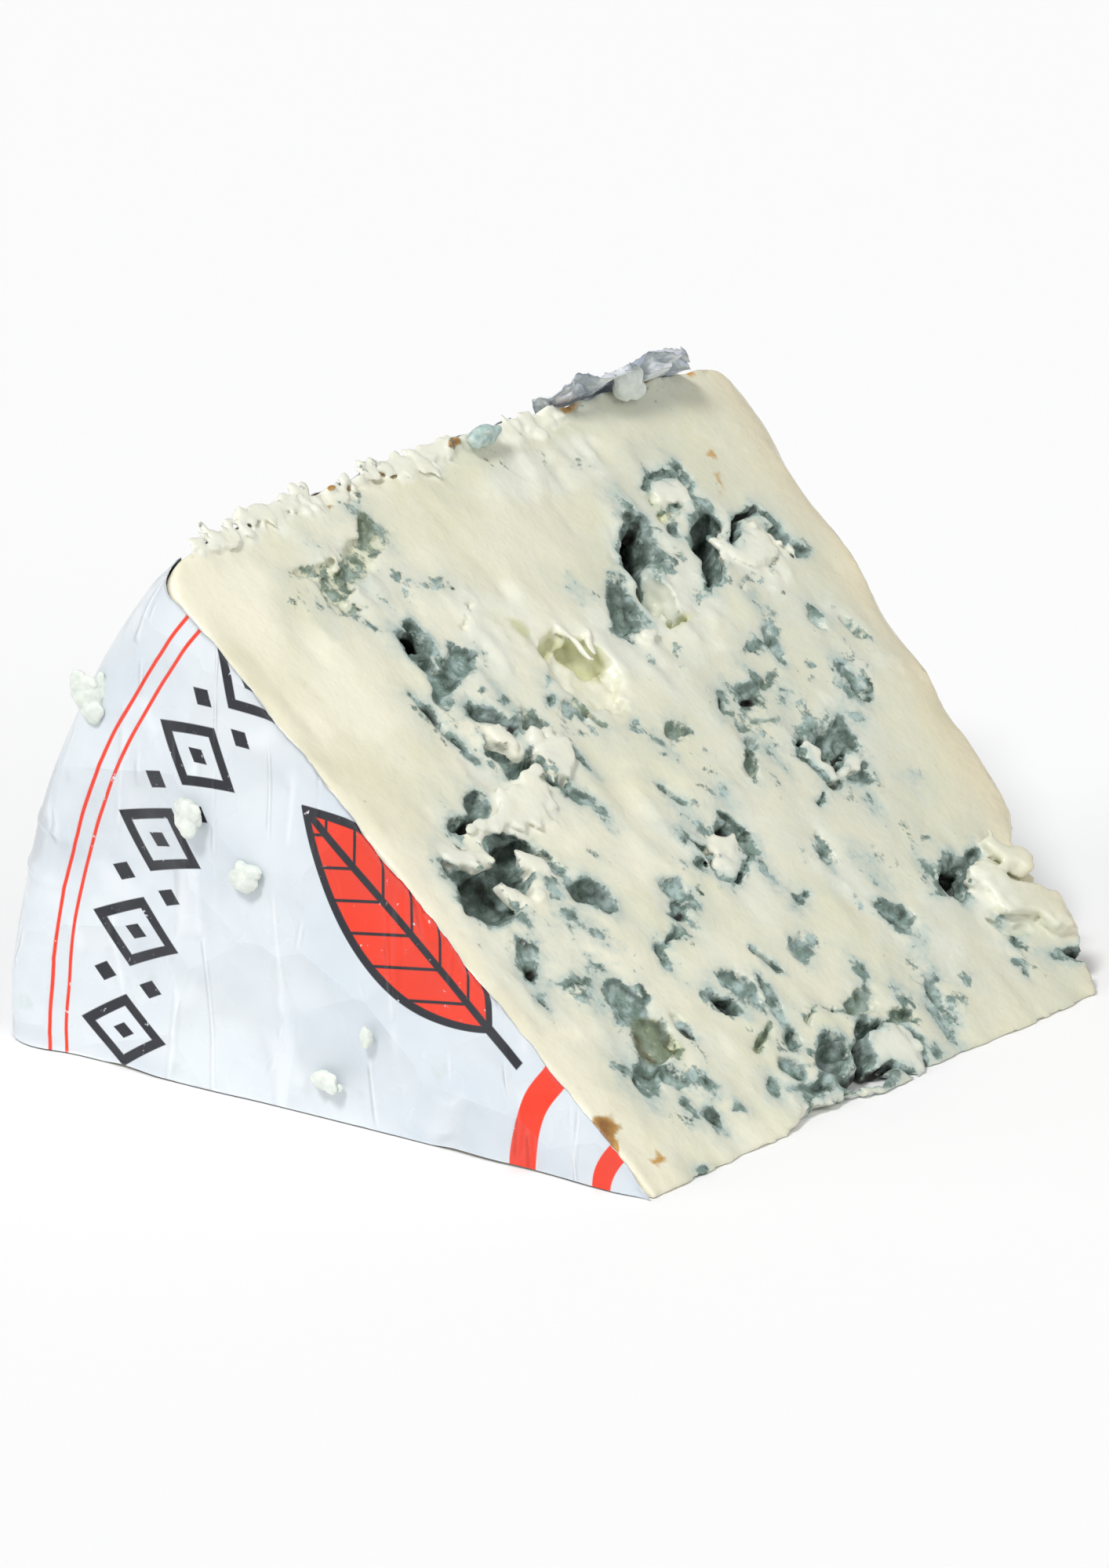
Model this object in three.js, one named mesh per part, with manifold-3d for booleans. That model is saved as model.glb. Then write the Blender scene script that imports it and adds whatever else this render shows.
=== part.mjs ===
// A wedge cut from a wheel of blue-veined cheese. It lies on one of its two cut faces. The foil paper
// that wrapped the whole wheel is still on both flat faces and round the rim, and crumbs stick to it.
// Millimetres, +Z up. The wheel's axis lies along Y: the printed flat face looks to -Y, the edge that was
// the middle of the wheel looks to +X and the rim to -X. The group's origin is the bottom centre.
import * as THREE from "three";
import { mergeVertices } from "three/addons/utils/BufferGeometryUtils.js";
import Module from "manifold-3d";

// ---- The wheel and the cut ----
const WHEEL_RADIUS = 95;
const WEDGE_ANGLE = THREE.MathUtils.degToRad(41);
const HEART_THICKNESS = 94.5; // across the wheel at its middle
const RIM_THICKNESS = 111.5; // across the wheel at its rim, where the paste stood less pressed
const RIM_CROWN = 2; // how far the middle of the rim swells past the radius
const CORNER_RADIUS = 6.5; // where the rim turns into a flat face

// ---- The foil paper ----
const FOIL_THICKNESS = 0.35;
const FIT_GAP = 0.3; // between the cheese and the foil, and between a crumb and what it lies on
const FOIL_LIFT = 0.4; // its cut edge stays this far above the surface that the wedge lies on
const FOIL_PROUD = 0.6; // how far it stands past the upper cut face
const TAB_HEIGHT = 5.5; // the torn piece that stands up from the rim, past the upper cut face
const TAB_WIDTH = 24;
const TAB_INSET = 4; // from the far corner's round to the tab

// ---- Broken places ----
const NOTCH_DEPTH = 3.2; // the dip in the sharp edge
const NOTCH_LENGTH = 28;
const NOTCH_PLACE = 36; // from the printed face
const FLAKE_DEPTH = 4.5; // the flake that is gone from the far face, at its sharp edge
const FLAKE_LENGTH = 25; // from the sharp edge to where the flake ends

// ---- Smoothness ----
const WHEEL_STEPS = 180;
const CORNER_STEPS = 5;
const RIM_STEPS = 12;
const POCKET_STEPS = 12;
const CRUMB_DETAIL = 1;

// Open holes in the upper cut face: `up` it from the sharp edge, `across` it from the printed face,
// half size along the radius, half size across, depth, and turn in degrees about the face's normal.
const POCKETS = [
  { up: 43, across: 14.5, along: 5.5, wide: 8.5, deep: 8, turn: -20 },
  { up: 52.5, across: 19.5, along: 2.5, wide: 5, deep: 4, turn: -35 },
  { up: 74, across: 28.8, along: 3.6, wide: 3.4, deep: 7, turn: 0 },
  { up: 69.5, across: 30.5, along: 3, wide: 5, deep: 3, turn: -15 },
  { up: WHEEL_RADIUS - 9, across: 26, along: 2.6, wide: 8, deep: 2.4, turn: -20 },
  { up: 55.5, across: 31, along: 4.5, wide: 3.5, deep: 3.2, turn: 30 },
  { up: 62.5, across: 51.5, along: 5, wide: 5.2, deep: 5, turn: 0 },
  { up: 68, across: 63.5, along: 4, wide: 3, deep: 4, turn: 0 },
  { up: 74, across: 72.5, along: 3.2, wide: 6.5, deep: 8, turn: -42 },
  { up: 73, across: 85, along: 3, wide: 6, deep: 6, turn: -48 },
  { up: 42.5, across: 78.5, along: 3.6, wide: 4.4, deep: 4, turn: 20 },
  { up: 37, across: 50, along: 3.6, wide: 4.6, deep: 3, turn: 0 },
  { up: 19, across: 18, along: 5.6, wide: 3.4, deep: 3, turn: 25 },
  { up: 18.5, across: 33, along: 2, wide: 1.6, deep: 3.5, turn: 0 },
  { up: 19, across: 67.5, along: 2.6, wide: 2.2, deep: 4, turn: 0 },
  { up: 20.5, across: 81.5, along: 2.4, wide: 3.6, deep: 7, turn: -50 },
  { up: 7.5, across: 44, along: 3, wide: 6, deep: 3, turn: -25 },
];

// Crumbs on the printed face: how far `out` from the wheel's axis, degrees above the ground, half sizes
// along the way round the wheel, along the radius and through the thickness, and turn in degrees.
const FACE_CRUMBS = [
  { out: WHEEL_RADIUS - 2.5, above: 28.8, round: 3.3, along: 1.7, thick: 1, turn: 0 },
  { out: 74, above: 27, round: 2.4, along: 2, thick: 1.2, turn: 20 },
  { out: 63.8, above: 25.5, round: 2.2, along: 1.9, thick: 0.9, turn: -30 },
  { out: 46.5, above: 6.6, round: 1.5, along: 2, thick: 0.9, turn: 0 },
  { out: 42, above: 16.3, round: 1.4, along: 1, thick: 0.8, turn: 0 },
];

// Crumbs on the upper cut face, close under the rim: up and across the face as for a pocket, and half
// sizes along the radius, across and through the thickness.
const TAB_END = RIM_THICKNESS - CORNER_RADIUS - TAB_INSET;
const RIM_CRUMBS = [
  { up: WHEEL_RADIUS + 0.3, across: 60.5, along: 1.4, wide: 2.9, thick: 1.5 },
  { up: WHEEL_RADIUS - 0.7, across: TAB_END - TAB_WIDTH / 2, along: 1.4, wide: 3.1, thick: 1.2 },
];

const CHEESE_COLOUR = 0xebe4c8;
const FOIL_COLOUR = 0xdfe7ee;
const CRUMB_COLOUR = 0xefeadb;

const wasm = await Module();
wasm.setup();

// A closed three.js geometry as a solid that can be joined and cut.
function solid(geometry) {
  const bare = geometry.clone();
  bare.deleteAttribute("normal");
  bare.deleteAttribute("uv");
  const merged = mergeVertices(bare, 1e-4);
  const vertProperties = merged.attributes.position.array;
  const triVerts = new Uint32Array(merged.index.array);
  return new wasm.Manifold(new wasm.Mesh({ numProp: 3, vertProperties, triVerts }));
}

function mesh(name, made, colour, roughness, metalness) {
  const { vertProperties, triVerts } = made.getMesh();
  const geometry = new THREE.BufferGeometry();
  geometry.setAttribute("position", new THREE.BufferAttribute(new Float32Array(vertProperties), 3));
  geometry.setIndex(new THREE.BufferAttribute(new Uint32Array(triVerts), 1));
  geometry.computeVertexNormals();
  const material = new THREE.MeshStandardMaterial({ color: colour, roughness, metalness });
  const piece = new THREE.Mesh(geometry, material);
  piece.name = name;
  return piece;
}

const FACE_SLOPE = Math.atan2(RIM_THICKNESS - HEART_THICKNESS, WHEEL_RADIUS);
const CORNER_OUT = WHEEL_RADIUS - CORNER_RADIUS; // from the axis to the corners' centres

// Points of an arc about (cx, cy), from one angle to another.
function arc(cx, cy, radius, from, to) {
  const points = [];
  for (let i = 0; i <= CORNER_STEPS; i += 1) {
    const angle = from + ((to - from) * i) / CORNER_STEPS;
    points.push(new THREE.Vector2(cx + radius * Math.cos(angle), cy + radius * Math.sin(angle)));
  }
  return points;
}

// The whole wheel with every face moved out by `offset`: a flat printed face, a crowned rim and a far
// face that leans out towards the rim.
function wheel(offset) {
  const radius = CORNER_RADIUS + offset;
  const farFaceThere = HEART_THICKNESS + CORNER_OUT * Math.tan(FACE_SLOPE);
  const farCentre = farFaceThere - CORNER_RADIUS / Math.cos(FACE_SLOPE);
  const near = arc(CORNER_OUT, CORNER_RADIUS, radius, -Math.PI / 2, 0);
  const far = arc(CORNER_OUT, farCentre, radius, 0, Math.PI / 2 + FACE_SLOPE);
  const rim = [];
  for (let i = 1; i < RIM_STEPS; i += 1) {
    const share = i / RIM_STEPS;
    const swell = RIM_CROWN * 4 * share * (1 - share);
    const y = CORNER_RADIUS + (farCentre - CORNER_RADIUS) * share;
    rim.push(new THREE.Vector2(WHEEL_RADIUS + offset + swell, y));
  }
  const start = new THREE.Vector2(0, -offset);
  const end = new THREE.Vector2(0, HEART_THICKNESS + offset / Math.cos(FACE_SLOPE));
  return solid(new THREE.LatheGeometry([start, ...near, ...rim, ...far, end], WHEEL_STEPS));
}

// The space between a level plane `lift` above the ground and the cut plane moved out by `proud`,
// from y = `near` to y = `far`, leaving out what lies less than `inside` back from the sharp edge.
function sector(lift, proud, near, far, inside = 0) {
  const reach = WHEEL_RADIUS * 2;
  const tip = (proud - lift * Math.cos(WEDGE_ANGLE)) / Math.sin(WEDGE_ANGLE);
  const outline = new THREE.Shape();
  outline.moveTo(tip - inside, lift);
  outline.lineTo(tip - inside, lift + inside * Math.tan(WEDGE_ANGLE));
  outline.lineTo(tip - reach * Math.cos(WEDGE_ANGLE), lift + reach * Math.sin(WEDGE_ANGLE));
  outline.lineTo(tip - reach, lift);
  outline.closePath();
  const prism = new THREE.ExtrudeGeometry(outline, { depth: far - near, bevelEnabled: false });
  prism.rotateX(Math.PI / 2);
  prism.translate(0, far, 0);
  return solid(prism);
}

// Moves a geometry that is modelled about the origin, with +Z out of the cut face, to its place there.
function toCutFace(geometry, up, across, out) {
  geometry.rotateY(WEDGE_ANGLE);
  const x = -up * Math.cos(WEDGE_ANGLE) + out * Math.sin(WEDGE_ANGLE);
  const z = up * Math.sin(WEDGE_ANGLE) + out * Math.cos(WEDGE_ANGLE);
  return geometry.translate(x, across, z);
}

function pocket({ up, across, along, wide, deep, turn }) {
  const hollow = new THREE.SphereGeometry(1, POCKET_STEPS, POCKET_STEPS - 4);
  hollow.rotateX(Math.PI / 2);
  hollow.scale(along, wide, deep);
  hollow.rotateZ(THREE.MathUtils.degToRad(turn));
  return solid(toCutFace(hollow, up, across, 0));
}

// The dip along the sharp edge.
function edgeNotch() {
  const dip = new THREE.SphereGeometry(1, POCKET_STEPS * 2, POCKET_STEPS);
  dip.rotateX(Math.PI / 2);
  dip.scale(NOTCH_DEPTH * 2, NOTCH_LENGTH / 2, NOTCH_DEPTH * 2);
  dip.translate(NOTCH_DEPTH, NOTCH_PLACE, 0);
  return solid(dip);
}

// The flake missing from the far face at the sharp edge: an upright cut that fades out towards the rim.
function farFlake() {
  const outline = new THREE.Shape();
  outline.moveTo(FLAKE_LENGTH, HEART_THICKNESS - FLAKE_DEPTH * 2);
  outline.lineTo(FLAKE_LENGTH, RIM_THICKNESS);
  outline.lineTo(-FLAKE_LENGTH, RIM_THICKNESS);
  outline.lineTo(-FLAKE_LENGTH, HEART_THICKNESS + FLAKE_DEPTH * 0.6);
  outline.lineTo(-FLAKE_LENGTH * 0.85, HEART_THICKNESS - FLAKE_DEPTH * 0.3);
  outline.lineTo(-FLAKE_LENGTH * 0.3, HEART_THICKNESS - FLAKE_DEPTH * 0.5);
  outline.lineTo(0, HEART_THICKNESS - FLAKE_DEPTH * 1.5);
  outline.closePath();
  const block = new THREE.ExtrudeGeometry(outline, { depth: WHEEL_RADIUS, bevelEnabled: false });
  block.translate(0, 0, -FIT_GAP);
  return solid(block);
}

function cheeseWedge() {
  const across = RIM_THICKNESS + CORNER_RADIUS;
  let made = wheel(0).intersect(sector(0, 0, -CORNER_RADIUS, across));
  made = made.subtract(edgeNotch()).subtract(farFlake());
  for (const place of POCKETS) made = made.subtract(pocket(place));
  return mesh("cheese_wedge", made, CHEESE_COLOUR, 0.5, 0);
}

// One sheet over the printed face, the rim and the far face, with a torn tab standing up at the rim.
function foilWrapper() {
  const across = RIM_THICKNESS + CORNER_RADIUS;
  const tab = sector(FOIL_LIFT, TAB_HEIGHT, TAB_END - TAB_WIDTH, TAB_END, CORNER_OUT / 2);
  const kept = sector(FOIL_LIFT, FOIL_PROUD, -CORNER_RADIUS, across).add(tab);
  const sheet = wheel(FIT_GAP + FOIL_THICKNESS).subtract(wheel(FIT_GAP));
  const made = sheet.intersect(kept).subtract(farFlake());
  return mesh("foil_wrapper", made, FOIL_COLOUR, 0.35, 0.5);
}

// A crumb lies on the printed face's foil, and leans with it where it turns into the rim.
function faceCrumb({ out, above, round, along, thick, turn }) {
  const lump = new THREE.IcosahedronGeometry(1, CRUMB_DETAIL);
  lump.scale(along, round, thick);
  lump.rotateZ(THREE.MathUtils.degToRad(turn));
  const stand = CORNER_RADIUS + FIT_GAP + FOIL_THICKNESS + FIT_GAP + thick;
  const lean = Math.asin(Math.max(0, out - CORNER_OUT) / stand);
  const angle = THREE.MathUtils.degToRad(above);
  const radial = new THREE.Vector3(-Math.cos(angle), 0, Math.sin(angle));
  const axial = new THREE.Vector3(0, -1, 0);
  const normal = axial.clone().multiplyScalar(Math.cos(lean)).addScaledVector(radial, Math.sin(lean));
  const inward = radial.clone().multiplyScalar(Math.cos(lean)).addScaledVector(axial, -Math.sin(lean));
  const way = new THREE.Vector3().crossVectors(normal, inward);
  lump.applyMatrix4(new THREE.Matrix4().makeBasis(inward, way, normal));
  const place = radial.clone().multiplyScalar(out);
  place.y = CORNER_RADIUS - stand * Math.cos(lean);
  return lump.translate(place.x, place.y, place.z);
}

function rimCrumb({ up, across, along, wide, thick }) {
  const lump = new THREE.IcosahedronGeometry(1, CRUMB_DETAIL);
  lump.scale(along, wide, thick);
  return toCutFace(lump, up, across, FIT_GAP + thick);
}

const wedge = new THREE.Group();
wedge.add(cheeseWedge());
wedge.add(foilWrapper());
const crumbs = [...FACE_CRUMBS.map(faceCrumb), ...RIM_CRUMBS.map(rimCrumb)];
crumbs.forEach((lump, index) => {
  wedge.add(mesh(`crumb_${index + 1}`, solid(lump), CRUMB_COLOUR, 0.6, 0));
});

// The origin is the middle of the bottom of the whole thing's box.
const box = new THREE.Box3().setFromObject(wedge);
const middle = box.getCenter(new THREE.Vector3());
wedge.position.set(-middle.x, -middle.y, -box.min.z);

export default wedge;
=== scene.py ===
"""A wedge of blue-veined cheese, lying on a cut face, with the foil paper of its wheel still on it.

Lengths on the wedge are in millimetres. A place on the upper cut face is (across, up, out): across the
wheel from the printed face, up the face from the sharp edge, and out of the face.
"""
import math

import bpy
import numpy as np
import openvdb
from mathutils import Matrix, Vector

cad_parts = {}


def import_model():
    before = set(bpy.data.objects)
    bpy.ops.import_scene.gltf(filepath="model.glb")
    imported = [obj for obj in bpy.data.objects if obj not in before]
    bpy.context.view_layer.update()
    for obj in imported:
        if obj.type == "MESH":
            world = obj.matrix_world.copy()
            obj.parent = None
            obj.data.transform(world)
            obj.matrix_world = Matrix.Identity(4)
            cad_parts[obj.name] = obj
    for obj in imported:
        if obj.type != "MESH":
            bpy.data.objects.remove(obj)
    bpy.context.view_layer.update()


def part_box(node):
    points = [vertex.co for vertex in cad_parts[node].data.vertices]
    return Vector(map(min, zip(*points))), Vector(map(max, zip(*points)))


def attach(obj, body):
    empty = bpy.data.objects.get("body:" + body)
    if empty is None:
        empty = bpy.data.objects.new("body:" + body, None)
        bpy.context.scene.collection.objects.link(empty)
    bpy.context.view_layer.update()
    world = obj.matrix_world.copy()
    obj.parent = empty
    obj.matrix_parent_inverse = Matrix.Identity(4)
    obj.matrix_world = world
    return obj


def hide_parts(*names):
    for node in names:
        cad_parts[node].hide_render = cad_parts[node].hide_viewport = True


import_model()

MM = 0.001

# ---- Sizes shared with the CAD solids ----
CHEESE_LOW, CHEESE_HIGH = (np.array(corner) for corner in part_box("cheese_wedge"))
TIP = np.array([CHEESE_HIGH[0], CHEESE_LOW[1], CHEESE_LOW[2]])  # sharp edge, printed face, ground
ANGLE = math.radians(41)  # between the two cut faces
RIM_CROWN = 2.0
RADIUS = (CHEESE_HIGH[0] - CHEESE_LOW[0]) / MM - RIM_CROWN
HEART_THICKNESS = 94.5
RIM_THICKNESS = 111.5
CORNER = 6.5
FACE_SLOPE = math.atan2(RIM_THICKNESS - HEART_THICKNESS, RADIUS)
CORNER_OUT = RADIUS - CORNER
FAR_CENTRE = HEART_THICKNESS + CORNER_OUT * math.tan(FACE_SLOPE) - CORNER / math.cos(FACE_SLOPE)
SIN, COS = math.sin(ANGLE), math.cos(ANGLE)

# ---- Camera ----
VIEW_AZIMUTH = math.radians(36.9)
VIEW_ELEVATION = math.radians(17.8)
VIEW_DISTANCE = 1.33
VIEW_CENTRE = TIP + np.array([-0.500, 0.462, 0.307]) * RADIUS * MM
LENS = 259.6


def world(across, up, out):
    """Places on the cut face as points of the scene, in metres."""
    x = -up * COS + out * SIN
    z = up * SIN + out * COS
    return TIP + np.stack([x, across, z], -1) * MM


# ---- Random fields ----
def knot_weights(points, cell):
    """Cubic B-spline weights that spread random knots, `cell` apart, over evenly placed points."""
    place = (points - points[0]) / cell
    first = np.floor(place).astype(int)
    f = place - first
    rows = np.arange(len(points))
    table = np.zeros((len(points), first[-1] + 4), np.float32)
    table[rows, first] = (1 - f) ** 3 / 6
    table[rows, first + 1] = (3 * f**3 - 6 * f**2 + 4) / 6
    table[rows, first + 2] = (-3 * f**3 + 3 * f**2 + 3 * f + 1) / 6
    table[rows, first + 3] = f**3 / 6
    return table


KNOT_SPREAD = 0.69  # how much each axis of weights evens the noise out


def lattice_noise(axes, cell, seed):
    """Smooth noise of about unit spread on a lattice, from its axes. Cell is one size, or one an axis."""
    tables = [knot_weights(axis, size) for axis, size in zip(axes, np.broadcast_to(cell, len(axes)))]
    field = np.random.default_rng(seed).standard_normal([t.shape[1] for t in tables])
    field = field.astype(np.float32)
    for table in tables:
        field = np.tensordot(field, table, axes=(0, 1))
    return field / KNOT_SPREAD ** len(axes)


NOISE_SIDE = 64  # knots along each side, after which the noise repeats


def noise_at(points, cell, seed):
    """Smooth noise between about -1 and 1 at any points, shape (count, 3)."""
    table = np.random.default_rng(seed).uniform(-1, 1, (NOISE_SIDE,) * 3)
    place = np.asarray(points) / cell
    first = np.floor(place).astype(int)
    f = place - first
    f = f * f * (3 - 2 * f)
    total = np.zeros(len(place))
    for corner in np.ndindex(2, 2, 2):
        cells = (first + corner) % NOISE_SIDE
        share = np.prod(np.where(corner, f, 1 - f), axis=1)
        total += share * table[cells[:, 0], cells[:, 1], cells[:, 2]]
    return total


def smoothstep(low, high, value):
    share = np.clip((value - low) / (high - low), 0, 1)
    return share * share * (3 - 2 * share)


# ---- The cut face's features ----
# Tones: how mouldy, how dark (dark mould, and in the hollows painted shade too), how olive and how amber the
# spot is.
TONES = {
    "black": (1.0, 0.95, 0.1, 0.0),
    "dark": (1.0, 0.42, 0.1, 0.0),
    "grey": (0.95, 0.18, 0.1, 0.0),
    "green": (0.76, 0.04, 0.45, 0.0),
    "moss": (0.55, 0.04, 0.5, 0.0),
    "blue": (0.85, 0.0, 0.0, 0.0),
    "olive": (0.8, 0.1, 1.0, 0.0),
    "soft": (0.62, 0.0, 0.0, 0.0),
    "faint": (0.36, 0.0, 0.2, 0.0),
    "cream": (0.0, 0.0, 0.3, 0.0),
    "ochre": (0.0, 0.1, 0.9, 0.1),
    "amber": (0.0, 0.0, 0.2, 0.9),
    "brown": (0.0, 0.5, 0.1, 1.0),
}

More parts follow.
